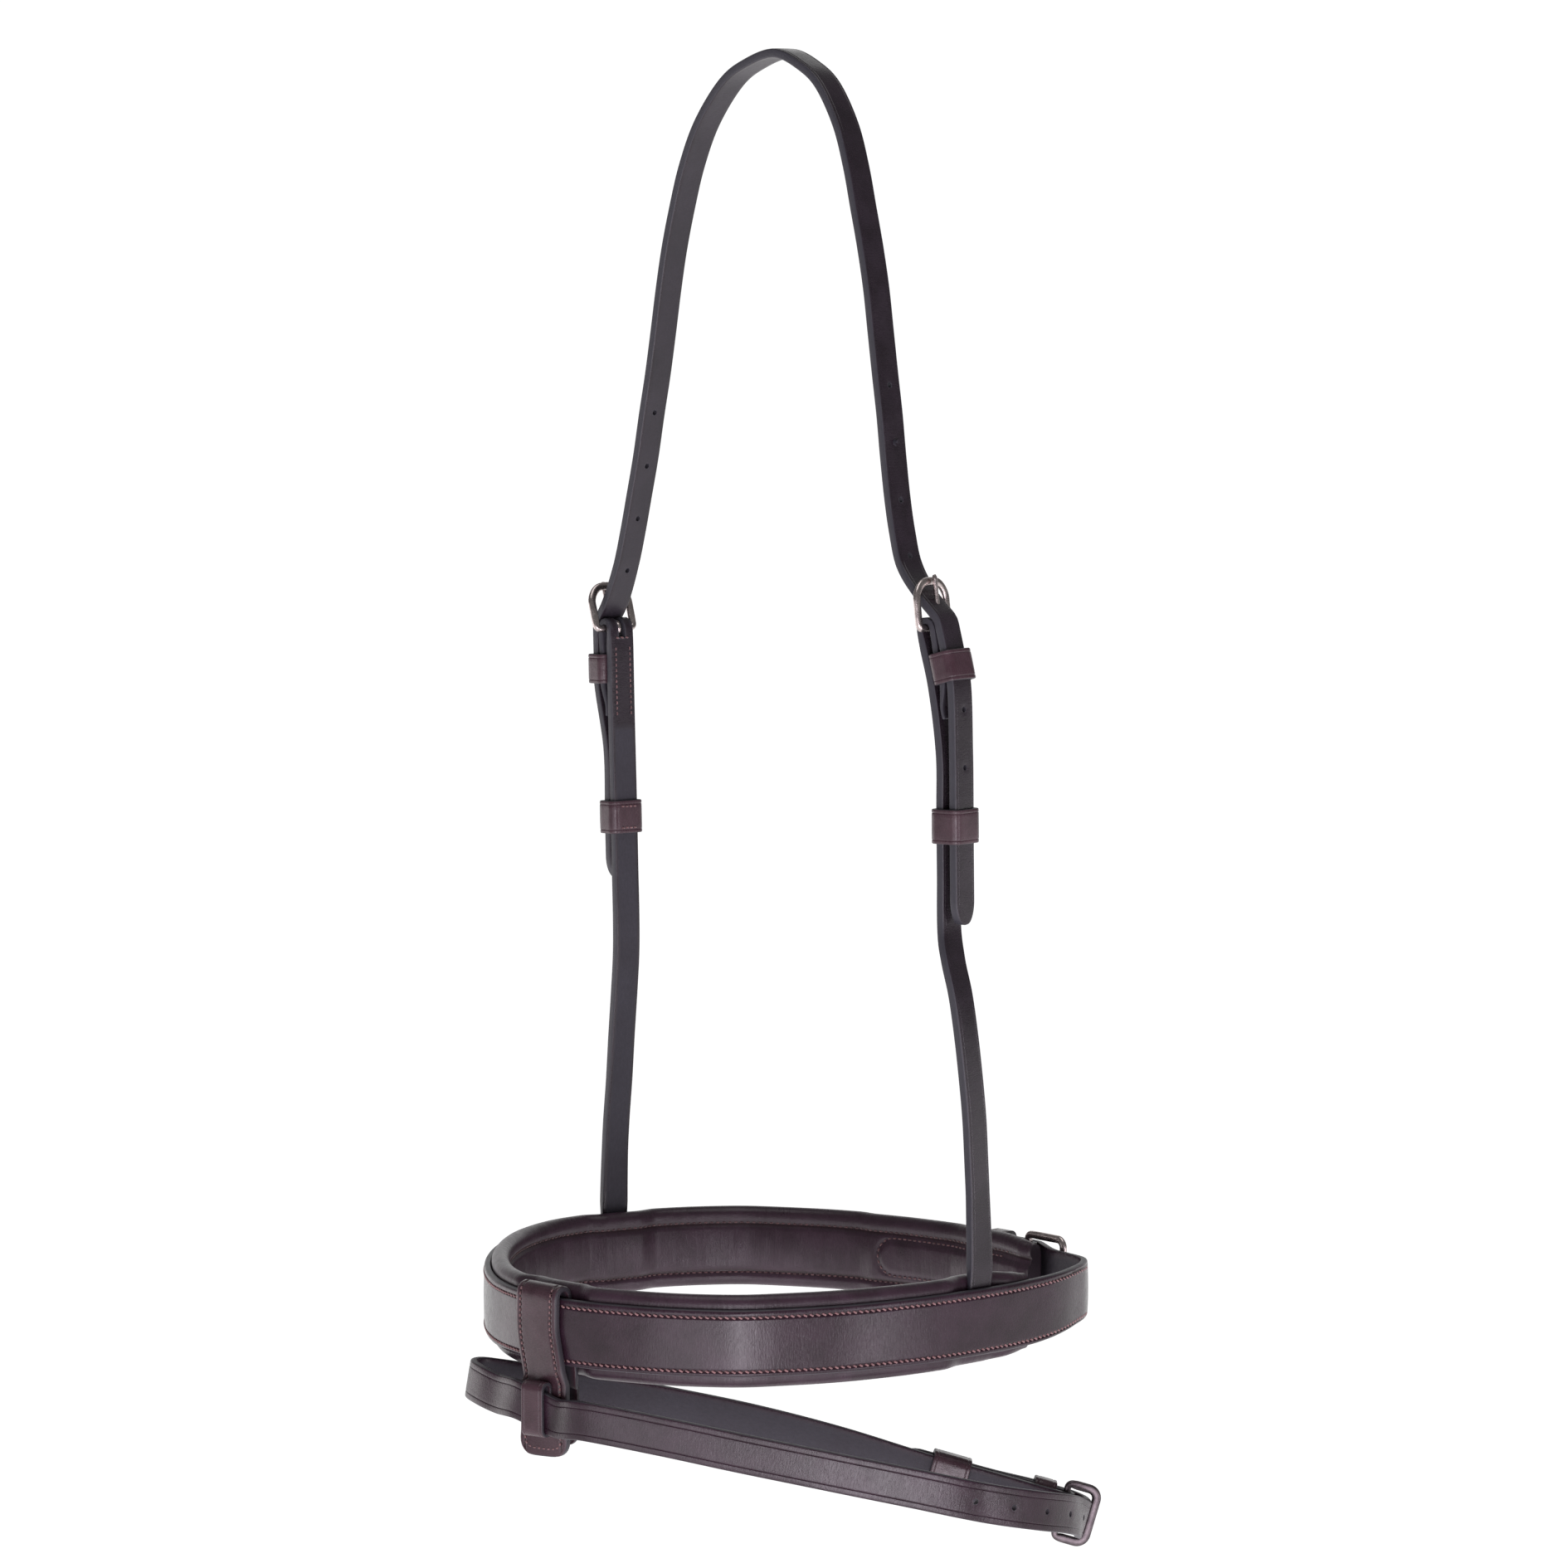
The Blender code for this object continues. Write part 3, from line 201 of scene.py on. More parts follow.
# Places along curves, as shares of the sizes they follow
crown_near_share = [(0.180, 0.017), (0.289, 0.047), (0.415, 0.120), (0.485, 0.194), (0.534, 0.267),
                    (0.582, 0.340), (0.621, 0.412), (0.649, 0.485), (0.677, 0.557), (0.708, 0.630),
                    (0.732, 0.703), (0.760, 0.776), (0.791, 0.834), (0.838, 0.892)]
crown_off_share = [(0.184, 0.011), (0.295, 0.037), (0.444, 0.108), (0.535, 0.183), (0.592, 0.254),
                   (0.639, 0.326), (0.675, 0.399), (0.705, 0.471), (0.738, 0.545), (0.776, 0.618),
                   (0.812, 0.692), (0.855, 0.765), (0.891, 0.825), (0.932, 0.884)]
near_hanger_share = [(1.128, 0.712), (1.168, 0.738), (1.191, 0.771), (1.199, 0.804), (1.198, 0.837),
                     (1.187, 0.871), (1.179, 0.900)]
off_hanger_share = [(0.939, 0.744), (0.952, 0.780), (0.967, 0.815), (0.981, 0.851),
                    (0.998, 0.886), (1.007, 0.915)]
foot_sweep_share = (0.70, 0.27)
egg_share = [(1.012, 0.0), (0.966, 0.17), (0.903, 0.295), (0.835, 0.388), (0.728, 0.512),
             (0.592, 0.645), (0.455, 0.757), (0.303, 0.853), (0.165, 0.92), (0.015, 0.968),
             (-0.129, 1.0), (-0.265, 0.992), (-0.40, 0.96), (-0.53, 0.905), (-0.64, 0.845),
             (-0.73, 0.775), (-0.845, 0.645), (-0.955, 0.39)]
chin_bar_share = 0.855
off_foot_share = -0.610
near_foot_share = 0.660
tab_share = -0.786
lining_end_share = 0.820
taper_depth_share = 0.70
taper_height_share = 0.95
chin_narrow_share = (0.15, 0.60)
flash_bar_share = (0.918, -0.465, 1.013)
flash_slope = math.radians(16)
flash_near_share = [(-0.658, -0.934, 0.411), (-0.389, -1.004, 0.472), (-0.121, -1.036, 0.552),
                    (0.147, -1.052, 0.633), (0.414, -1.045, 0.720), (0.589, -1.020, 0.785),
                    (0.684, -0.980, 0.825), (0.834, -0.867, 0.893), (0.922, -0.739, 0.948),
                    (0.966, -0.627, 0.996)]
flash_bend_share = [(-0.939, -0.643, 0.357), (-0.999, -0.562, 0.338), (-1.036, -0.465, 0.328),
                    (-1.012, -0.402, 0.335), (-0.950, -0.377, 0.353)]
flash_far_share = [(-0.673, -0.417, 0.407), (-0.412, -0.465, 0.465), (-0.124, -0.498, 0.548),
                   (0.151, -0.510, 0.655)]


class Station:
    """One cross-section of a strap: its centre, the way its width runs, and its two sizes."""

    def __init__(self, centre, across, width, thickness):
        self.centre = Vector(centre)
        self.across = Vector(across).normalized()
        self.width = width
        self.thickness = thickness


def spline_point(p0, p1, p2, p3, share):
    """A point between p1 and p2 on a centripetal Catmull-Rom curve."""
    knots = [0.0]
    for a, b in ((p0, p1), (p1, p2), (p2, p3)):
        knots.append(knots[-1] + max((b - a).length, 1e-9) ** 0.5)
    t0, t1, t2, t3 = knots
    t = t1 + (t2 - t1) * share
    a1 = p0 * ((t1 - t) / (t1 - t0)) + p1 * ((t - t0) / (t1 - t0))
    a2 = p1 * ((t2 - t) / (t2 - t1)) + p2 * ((t - t1) / (t2 - t1))
    a3 = p2 * ((t3 - t) / (t3 - t2)) + p3 * ((t - t2) / (t3 - t2))
    b1 = a1 * ((t2 - t) / (t2 - t0)) + a2 * ((t - t0) / (t2 - t0))
    b2 = a2 * ((t3 - t) / (t3 - t1)) + a3 * ((t - t1) / (t3 - t1))
    return b1 * ((t2 - t) / (t2 - t1)) + b2 * ((t - t1) / (t2 - t1))


def smooth_points(points, step):
    """A smooth line through the points, with more of them where they lie further apart."""
    ends = [points[0] * 2 - points[1], *points, points[-1] * 2 - points[-2]]
    line, shares = [], []
    for i in range(len(points) - 1):
        count = max(1, round((points[i + 1] - points[i]).length / step))
        for k in range(count):
            line.append(spline_point(*ends[i:i + 4], k / count))
            shares.append(i + k / count)
    return [*line, points[-1].copy()], [*shares, float(len(points) - 1)]


def refine(controls, step):
    """Stations along a smooth curve through the control stations."""
    points, shares = smooth_points([s.centre for s in controls], step)
    made = []
    for point, share in zip(points, shares):
        i = min(int(share), len(controls) - 2)
        a, b, part = controls[i], controls[i + 1], share - i
        made.append(Station(point, a.across.lerp(b.across, part),
                            a.width + (b.width - a.width) * part,
                            a.thickness + (b.thickness - a.thickness) * part))
    return made


def tangents(stations, closed=False):
    """The way the strap runs at each station."""
    count = len(stations)
    made = []
    for i in range(count):
        before = stations[i - 1] if closed or i > 0 else stations[i]
        after = stations[(i + 1) % count] if closed or i < count - 1 else stations[i]
        made.append((after.centre - before.centre).normalized())
    return made


def arc(centre_a, centre_b, radius, start, end, count):
    """Pairs along a circle from one angle to another."""
    angles = [start + (end - start) * i / count for i in range(count + 1)]
    return [(centre_a + radius * math.cos(a), centre_b + radius * math.sin(a)) for a in angles]


def rounded_rectangle(half_a, low_b, high_b, low_corner, high_corner, dome=0.0, steps=3):
    """Pairs round a rectangle whose high side may bow outward."""
    quarter = math.pi / 2
    line = arc(half_a - high_corner, high_b - high_corner, high_corner, 0, quarter, steps)
    if dome:
        line.append((0.0, high_b + dome))
    line += arc(high_corner - half_a, high_b - high_corner, high_corner, quarter, 2 * quarter, steps)
    line += arc(low_corner - half_a, low_b + low_corner, low_corner, 2 * quarter, 3 * quarter, steps)
    line += arc(half_a - low_corner, low_b + low_corner, low_corner, 3 * quarter, 4 * quarter, steps)
    return line


class Buckle:
    """The sizes that a buckle's frame, tongue, folded leather and strap share.

    In a buckle's own axes the hinge bar lies along Y through the origin, X points to the outer
    side of the straps, and the folded leather hangs down -Z from the bar. The frame reaches up.
    """

    def __init__(self, matrix, strap_width, strap_thickness, leaf, bar_radius, reach, corner,
                 dome=0.0, frame_lean=0.0, knee=0.0, knee_lean=0.0, far_play=bar_play):
        self.matrix = matrix
        self.strap_width = strap_width
        self.strap_thickness = strap_thickness
        self.leaf = leaf
        self.bar_radius = bar_radius
        self.reach = reach
        self.corner = corner
        self.dome = dome
        self.frame_lean = frame_lean
        self.knee = knee
        bend = Matrix.Rotation(-knee_lean, 4, "Y")
        self.low_matrix = matrix @ Matrix.Translation((0, 0, -knee)) @ bend
        self.leaf_offset = bar_radius + gap + leaf / 2
        self.billet_offset = bar_radius + gap + leaf + gap + strap_thickness / 2
        self.far_offset = bar_radius + far_play + strap_thickness / 2
        self.shank_offset = bar_radius + gap + tongue_radius
        self.crossing = math.asin(min(0.95, (self.billet_offset + self.far_offset) / reach))

    def place(self, out, up, side=0.0):
        """A point from the buckle's own axes, which bend at the knee below the buckle."""
        if up < -self.knee:
            return self.low_matrix @ Vector((out, side, up + self.knee))
        return self.matrix @ Vector((out, side, up))

    def leaned(self, out, up):
        """Turn a pair from the frame's plane to the straps' plane."""
        c, s = math.cos(self.frame_lean), math.sin(self.frame_lean)
        return out * c - up * s, out * s + up * c

    def side(self):
        """The way the hinge bar runs."""
        return (self.matrix.to_3x3() @ Vector((0, 1, 0))).normalized()

    def station(self, out, up, width, thickness):
        return Station(self.place(out, up), self.side(), width, thickness)

    def fold_arc(self):
        """The leather's middle line round the bar, from its inner leaf to its outer leaf."""
        return arc(0, 0, self.leaf_offset, math.pi, 0, 8)

    def crossing_points(self):
        """The strap's middle line over the hinge bar and inside the far bar."""
        top = self.crossing + self.frame_lean
        line = arc(0, 0, self.billet_offset, 0, top, 5)
        c, s = math.cos(self.crossing), math.sin(self.crossing)
        line.append(self.leaned(-self.far_offset * c, self.reach - self.far_offset * s))
        return line

    def tongue_crossing(self):
        """Where the strap's middle line meets the tongue's."""
        c, s = math.cos(self.crossing), math.sin(self.crossing)
        run = (self.billet_offset * c - self.shank_offset) / s
        return self.leaned(self.shank_offset, self.billet_offset * s + c * run)


# The cheek assemblies

def side_matrix(across, drop, turn, lean):
    """A cheek buckle's axes, placed from the crown."""
    place = Matrix.Translation((across, 0, -drop))
    return place @ Matrix.Rotation(turn, 4, "Z") @ Matrix.Rotation(lean, 4, "Y")


def cheek_buckle(matrix, far_play, frame_lean, knee=0.0, knee_lean=0.0):
    return Buckle(matrix, cheek_width, cheek_thickness, fold_leaf_thickness, cheek_bar_radius,
                  cheek_reach, cheek_corner, cheek_dome, frame_lean, knee, knee_lean, far_play)


near_buckle = cheek_buckle(side_matrix(near_bar_across, near_bar_drop, near_turn, near_lean),
                           near_strap_play, near_frame_lean, near_knee_drop, near_knee_lean)
off_buckle = cheek_buckle(side_matrix(-off_bar_across, off_bar_drop, math.pi + off_turn, off_lean),
                          off_strap_play, off_frame_lean)
hanger_face = cheek_thickness / 2 - near_buckle.leaf_offset
fixed_keeper_low = hanger_face + gap
leaf_at_keeper = fixed_keeper_low + keeper_wall + gap + fold_leaf_thickness / 2
billet_high = max(near_buckle.billet_offset,
                  leaf_at_keeper + fold_leaf_thickness / 2 + gap + cheek_thickness / 2)
leaf_at_end = hanger_face + gap + fold_end_thickness / 2
keeper_end = fixed_keeper_drop + keeper_height / 2


def billet_low(rest_gap):
    """How far out the billet's middle is where it rests along the hanger."""
    return hanger_face + rest_gap + cheek_thickness / 2


def billet_stations(buckle, length, rest_gap):
    """The billet from its point up to the far bar."""
    closed_at = keeper_end + billet_close_length
    low = billet_low(rest_gap)
    line = [(low, -length), (low, point_length - length), (low, -(length + closed_at) / 2),
            (low, -closed_at), (billet_high, gap - keeper_end), (billet_high, -keeper_end * 0.6),
            (billet_high, -keeper_end * 0.25)]
    return [buckle.station(*pair, cheek_width, cheek_thickness)
            for pair in line + buckle.crossing_points()]


def crown_stations():
    """The headstrap's arch, from above the near buckle to above the off buckle."""
    side = Matrix.Rotation(crown_turn, 3, "Z") @ Vector((0, 1, 0))
    line = [Vector((near_bar_across * a, 0, -near_bar_drop * d))
            for a, d in reversed(crown_near_share)]
    line.append(Vector((0, 0, cheek_thickness / 2)))
    line += [Vector((-off_bar_across * a, 0, -off_bar_drop * d)) for a, d in crown_off_share]
    return [Station(p, side, cheek_width, cheek_thickness) for p in line]


def headstrap_controls():
    """The headstrap's line: near billet, arch, off billet."""
    near = billet_stations(near_buckle, near_billet_length, near_billet_gap)
    off = billet_stations(off_buckle, off_billet_length, off_billet_gap)
    for station in off:
        station.across = -station.across
    return near + crown_stations() + off[::-1]


# The noseband's loop

loop_matrix = (Matrix.Translation((band_centre_across, -band_centre_forward, -band_drop))
               @ Matrix.Rotation(band_turn, 4, "Z") @ Matrix.Rotation(band_tilt, 4, "X"))


class Loop:
    """The noseband strap's middle line, and lengths along it from the chin buckle's bar."""

    def __init__(self):
        near = [(a, -b) for a, b in reversed(egg_share[1:])]
        pairs = egg_share + [(-1.0, 0.0)] + near
        ring = [Vector((a * loop_half_length, b * loop_half_width, 0)) for a, b in pairs]
        wrapped = [ring[-2], ring[-1], *ring, ring[0], ring[1], ring[2]]
        line = []
        for i in range(len(ring)):
            for k in range(8):
                line.append(spline_point(*wrapped[i + 1:i + 5], k / 8))
        self.points = line
        self.lengths = [0.0]
        for a, b in zip(line, [*line[1:], line[0]]):
            self.lengths.append(self.lengths[-1] + (b - a).length)
        self.total = self.lengths[-1]
        self.start = 0.0
        self.start = self.at_share(chin_bar_share, far=True)

    def raw(self, length):
        """A point on the line, in the loop's own plane."""
        length = length % self.total
        for i in range(len(self.points)):
            if self.lengths[i + 1] >= length:
                part = (length - self.lengths[i]) / (self.lengths[i + 1] - self.lengths[i])
                return self.points[i].lerp(self.points[(i + 1) % len(self.points)], part)
        return self.points[0].copy()

    def at_share(self, share, far):
        """The length at which the loop passes a share of its half length, on one side."""
        target = share * loop_half_length
        count = len(self.points)
        order = range(count // 2) if far else range(count - 1, count // 2, -1)
        for i in order:
            a, b = self.points[i], self.points[(i + 1) % count]
            if min(a.x, b.x) <= target <= max(a.x, b.x):
                part = (target - a.x) / (b.x - a.x)
                span = self.lengths[i + 1] - self.lengths[i]
                return (self.lengths[i] + span * part - self.start) % self.total
        return 0.0

    def along(self, length):
        """The way the loop runs, in its own plane."""
        step = band_thickness
        a = self.raw(self.start + length - step)
        b = self.raw(self.start + length + step)
        return (b - a).normalized()

    def out(self, length):
        """The way out of the loop, in its own plane."""
        way = self.along(length)
        return Vector((way.y, -way.x, 0))

    def point(self, length, offset=0.0, lift=0.0):
        """A point in the part's own axes."""
        place = self.raw(self.start + length) + self.out(length) * offset + Vector((0, 0, lift))
        return loop_matrix @ place

    def frame(self, length, offset=0.0, lift=0.0, reverse=False):
        """Axes on the loop: X outward, Y up, Z along it (or back along it)."""
        turn = loop_matrix.to_3x3()
        out = turn @ self.out(length)
        way = turn @ self.along(length)
        if reverse:
            way = -way
        up = way.cross(out)
        matrix = Matrix((out, up, way)).transposed().to_4x4()
        matrix.translation = self.point(length, offset, lift)
        return matrix


loop = Loop()
tab_at = loop.at_share(tab_share, far=False)
near_foot_at = loop.at_share(near_foot_share, far=False)
off_foot_at = loop.at_share(off_foot_share, far=True)
lining_end = loop.at_share(lining_end_share, far=False)
chin_leaf_offset = chin_bar_radius + gap + chin_fold_thickness / 2
chin_buckle = Buckle(loop.frame(0.0, -chin_leaf_offset, chin_rise, reverse=True), chin_width,
                     band_thickness, chin_fold_thickness, chin_bar_radius, chin_reach, chin_corner)
chin_leaf_at_keeper = -(band_thickness / 2 + gap + keeper_wall + gap + chin_fold_thickness / 2)
chin_leaf_closed = -(band_thickness / 2 + gap + chin_fold_thickness / 2)
chin_keeper_end = chin_keeper_drop + chin_keeper_height / 2
chin_close_length = 0.0140
lining_ease_length = 0.0120
UP = Vector((0, 0, 1))
foot_half = cheek_width / 2


def ease(share):
    """A smooth rise from 0 to 1."""
    share = max(0.0, min(1.0, share))
    return share * share * (3 - 2 * share)


def chin_leaf_place(length):
    """The turned-back leaf's offset behind the strap, at a length from the bar."""
    if length < chin_keeper_end:
        part = max(0.0, length) / chin_keeper_end
        return -2 * chin_leaf_offset * (1 - part) + chin_leaf_at_keeper * part
    part = ease((length - chin_keeper_end) / chin_close_length)
    return chin_leaf_at_keeper * (1 - part) + chin_leaf_closed * part


def room_behind(length):
    """How far the lining stands off the strap's back, for what lies between them."""
    room = 0.0
    for place, thickness, half in ((tab_at, tab_back_thickness + tab_curve_room, tab_width / 2),
                                   (near_foot_at, foot_thickness + foot_curve_room, foot_half),
                                   (off_foot_at, foot_thickness + foot_curve_room, foot_half)):
        beyond = abs(length - place) - half - cut_overrun
        room = max(room, (thickness + gap) * ease(1 - beyond / lining_ease_length))
    leaf_back = -(chin_leaf_place(length) - chin_fold_thickness / 2) - band_thickness / 2
    beyond = length - chin_turnback - cut_overrun
    return max(room, leaf_back * ease(1 - beyond / lining_ease_length))


def make_band_marks():
    """Lengths along the loop where the strap, the lining and the padding have sections."""
    count = round((lining_end - lining_start) / band_step)
    marks = [lining_start + (lining_end - lining_start) * i / count for i in range(count + 1)]
    for place, half in ((tab_at, tab_width / 2), (near_foot_at, foot_half), (off_foot_at, foot_half)):
        for side in (-1, 1):
            marks.append(place + side * (half + cut_overrun))
    marks.sort()
    kept = marks[:1]
    for mark in marks[1:]:
        if mark - kept[-1] > band_step / 3:
            kept.append(mark)
    kept[-1] = lining_end
    return kept


band_marks = make_band_marks()


def hanger_controls(buckle, bar_across, shares, foot_at):
    """A cheek hanger: its foot behind the noseband strap, its top folded round the bar."""
    foot_offset = -(band_thickness / 2 + gap + foot_curve_room + foot_thickness / 2)
    foot_way = loop.frame(foot_at).to_3x3() @ Vector((0, 0, 1))
    if foot_way.dot(buckle.side()) < 0:
        foot_way = -foot_way
    half_band = lining_height / 2
    controls = [Station(loop.point(foot_at, foot_offset, half_band + foot_depth * share), foot_way,
                        cheek_width, thickness)
                for share, thickness in ((-1.0, foot_thickness), (-0.6, foot_thickness),
                                         (-0.25, foot_thickness), (0.25, cheek_thickness))]
    begin, span = foot_sweep_share
    for a, d in shares[::-1]:
        forward = loop.point(foot_at).y * ease((d - begin) / span)
        controls.append(Station(Vector((bar_across * a, forward, -band_drop * d)), buckle.side(),
                                cheek_width, cheek_thickness))
    leaf = -buckle.leaf_offset
    below_knee = -max(buckle.knee, keeper_end) - keeper_height
    for up in (-straight_length, -straight_length * 0.8, -straight_length * 0.6, below_knee,
               -keeper_end, -keeper_end / 3):
        controls.append(buckle.station(leaf, up, cheek_width, cheek_thickness))
    for out, up in buckle.fold_arc():
        controls.append(buckle.station(out, up, cheek_width, fold_leaf_thickness))
    for out, up, thickness in ((leaf_at_keeper, -keeper_end / 2, fold_leaf_thickness),
                               (leaf_at_keeper, -keeper_end, fold_leaf_thickness),
                               (leaf_at_end, -(keeper_end + fold_length * 2) / 3, fold_end_thickness),
                               (leaf_at_end, -fold_length, fold_end_thickness)):
        controls.append(buckle.station(out, up, cheek_width, thickness))
    return controls


def band_controls():
    """The noseband strap: turned-back leaf, fold, the long run round, and the point."""
    turn = loop_matrix.to_3x3() @ UP
    controls = []

    def add(length, offset, width, thickness):
        lift = chin_rise * (band_width - width) / (band_width - chin_width)
        controls.append(Station(loop.point(length, offset, lift), turn, width, thickness))

    narrow_from = near_foot_at + (loop.total - near_foot_at) * chin_narrow_share[0]
    narrow_to = near_foot_at + (loop.total - near_foot_at) * chin_narrow_share[1]

    def width_at(length):
        part = min((length - chin_keeper_end) / chin_taper_length,
                   (narrow_to - length) / (narrow_to - narrow_from))
        return chin_width + (band_width - chin_width) * ease(part)

    leaf_marks = [m for m in band_marks if chin_keeper_end + chin_close_length < m < chin_turnback]
    back = [chin_turnback, *leaf_marks[::-1], chin_keeper_end + chin_close_length,
            chin_keeper_end + chin_close_length / 2, chin_keeper_end, chin_keeper_end / 2]
    for length in back:
        add(length, chin_leaf_place(length), chin_width, chin_fold_thickness)
    for out, up in chin_buckle.fold_arc():
        controls.append(Station(chin_buckle.place(out, up), turn, chin_width, chin_fold_thickness))
    add(chin_keeper_end / 2, 0.0, chin_width, band_thickness)
    add(chin_keeper_end, 0.0, chin_width, band_thickness)
    for length in band_marks:
        if length > chin_keeper_end + band_step / 2:
            add(length, 0.0, width_at(length), band_thickness)
    frame_starts = loop.total - chin_reach * 2
    count = round((frame_starts - lining_end) / band_step)
    for i in range(1, count + 1):
        length = lining_end + (frame_starts - lining_end) * i / count
        add(length, 0.0, width_at(length), band_thickness)
    before = (-chin_buckle.far_offset * 1.25, chin_reach * 1.35)
    for out, up in [before] + chin_buckle.crossing_points()[::-1]:
        controls.append(Station(chin_buckle.place(out, up), turn, chin_width, band_thickness))
    over = band_thickness + gap * 1.5
    for share in (0.16, 0.3, 0.45, 0.6, 0.75, 0.9, 1.0):
        add(chin_point_length * share, over, chin_width, band_thickness)
    return controls


# The flash tab and strap

tab_matrix = loop.frame(tab_at)
tab_front = band_thickness / 2 + gap + tab_front_thickness / 2
tab_back = -(band_thickness / 2 + gap + tab_curve_room + tab_back_thickness / 2)
tab_face = tab_front + tab_front_thickness / 2
flash_out = tab_face + gap + tab_keeper_wall + gap + flash_thickness / 2
twist_top = -lining_height / 2
tab_keeper_half = keeper_room + (flash_width * math.cos(flash_tab_slope)
                                 + tab_keeper_height * math.sin(flash_tab_slope)) / 2
tab_keeper_top = -tab_keeper_drop + tab_keeper_half
tab_keeper_low = -tab_keeper_drop - tab_keeper_half


def twist_at(up):
    """How much of its twist the tab has at a height: none on the noseband, all at its end."""
    first = ease((twist_top - up) / (twist_top - tab_keeper_top + gap))
    last = ease((tab_keeper_low - up) / (tab_front_drop + tab_keeper_low))
    return tab_keeper_twist_share * first + (1 - tab_keeper_twist_share) * last


def tab_frame(out, up):
    """Axes on the tab, whose foot is drawn sideways: X outward, Y down, Z along the noseband."""
    axes = tab_matrix.to_3x3().to_4x4()
    aside = axes.col[2].to_3d() * tab_shift * ease(up / tab_keeper_top)
    pivot = tab_matrix.translation + axes.col[0].to_3d() * tab_front + UP * up + aside
    turn = Matrix.Rotation(tab_twist * twist_at(up), 4, "Z")
    return Matrix.Translation(pivot) @ turn @ axes @ Matrix.Translation((out - tab_front, 0, 0))


def tab_controls():
    """The tab: folded over the strap's top edge, both legs hanging below the noseband."""
    controls = []

    def add(out, up, thickness):
        frame = tab_frame(out, up)
        controls.append(Station(frame.translation, frame.col[2].to_3d(), tab_width, thickness))

    top = band_width / 2 + gap
    below = (tab_keeper_low, -tab_keeper_drop, tab_keeper_top, twist_top)
    for up in (-tab_back_drop, point_length / 2 - tab_back_drop, *below, 0.0, top - band_thickness):
        add(tab_back, up, tab_back_thickness)
    middle = (tab_front + tab_back) / 2
    for out, up in arc(middle, top, (tab_front - tab_back) / 2, math.pi, 0, 6):
        share = (out - tab_back) / (tab_front - tab_back)
        add(out, up, tab_back_thickness + (tab_front_thickness - tab_back_thickness) * share)
    for up in (top - band_thickness, 0.0, *below[::-1], point_length / 2 - tab_front_drop,
               -tab_front_drop):
        add(tab_front, up, tab_front_thickness)
    return controls


def flash_place(a, b, drop):
    """A point given as shares of the noseband's loop and of the flash buckle's drop."""
    return loop_matrix @ Vector((a * loop_half_length, b * loop_half_width, -drop * flash_bar_drop))


flash_axes = Matrix(((0, 0, 1, 0), (1, 0, 0, 0), (0, 1, 0, 0), (0, 0, 0, 1)))
flash_matrix = (Matrix.Translation(flash_place(*flash_bar_share)) @ loop_matrix.to_3x3().to_4x4()
                @ Matrix.Rotation(flash_slope, 4, "Y") @ flash_axes)
flash_buckle = Buckle(flash_matrix, flash_width, flash_thickness, flash_fold_thickness,
                      flash_bar_radius, flash_reach, flash_corner)
flash_main = flash_fold_thickness / 2 - flash_thickness / 2 - flash_buckle.leaf_offset
flash_face = flash_main + flash_thickness / 2
flash_leaf_at_keeper = flash_face + gap + keeper_wall + gap + flash_fold_thickness / 2
flash_keeper_end = flash_keeper_drop + flash_keeper_height / 2
flash_billet_high = max(flash_buckle.billet_offset,
                        flash_leaf_at_keeper + flash_fold_thickness / 2 + gap + flash_thickness / 2)
flash_billet_low = flash_face + gap + flash_fold_end_thickness + gap + flash_thickness / 2
flash_leaf_end = flash_face + gap + flash_fold_end_thickness / 2


def flash_controls():
    """The flash strap: turned-back leaf, fold, far run, bend, tab, near run, point."""
    buckle = flash_buckle
    width, leaf, thick = flash_width, flash_fold_thickness, flash_thickness
    line = []

    def add(out, up, thickness):
        line.append(buckle.station(out, up, width, thickness))

    add(flash_leaf_end, -flash_fold_length, flash_fold_end_thickness)
    add(flash_leaf_end, -(flash_fold_length * 2 + flash_keeper_end) / 3, flash_fold_end_thickness)
    add(flash_leaf_at_keeper, -flash_keeper_end, leaf)
    add(flash_leaf_at_keeper, -flash_keeper_end / 2, leaf)
    for out, up in buckle.fold_arc()[::-1]:
        add(out, up, leaf)
    for up in (-flash_keeper_end / 2, -flash_keeper_end, -flash_fold_length, -flash_straight_length):
        add(flash_main, up, thick)
    for shares in flash_far_share[::-1]:
        line.append(Station(flash_place(*shares), UP, width, thick))
    lean = UP + loop_matrix.col[0].to_3d() * math.tan(flash_bend_lean)
    for shares in flash_bend_share[::-1]:
        line.append(Station(flash_place(*shares), lean, width, thick))
    way = (tab_frame(flash_out, -tab_keeper_drop)
           @ Matrix.Rotation(-flash_tab_slope, 4, "X"))
    for side in (-1, 0, 1):
        place = way @ Vector((0, 0, side * flash_tab_straight))
        line.append(Station(place, -way.col[1].to_3d(), width, thick))
    for shares in flash_near_share:
        line.append(Station(flash_place(*shares), UP, width, thick))
    turn_centre = flash_billet_high - flash_turn_radius
    add(turn_centre - flash_turn_radius / 2, flash_turn_radius, thick)
    for out, up in arc(turn_centre, 0, flash_turn_radius, math.pi / 2, 0, 6):
        add(out, up, thick)
    add(flash_billet_high, -flash_keeper_end / 2, thick)
    add(flash_billet_high, -flash_keeper_end, thick)
    closed_at = (flash_keeper_end + flash_runner_drop) / 2
    for up in (-closed_at, -(closed_at + flash_billet_length) / 2, point_length - flash_billet_length,
               -flash_billet_length):
        add(flash_billet_low, up, thick)
    return line


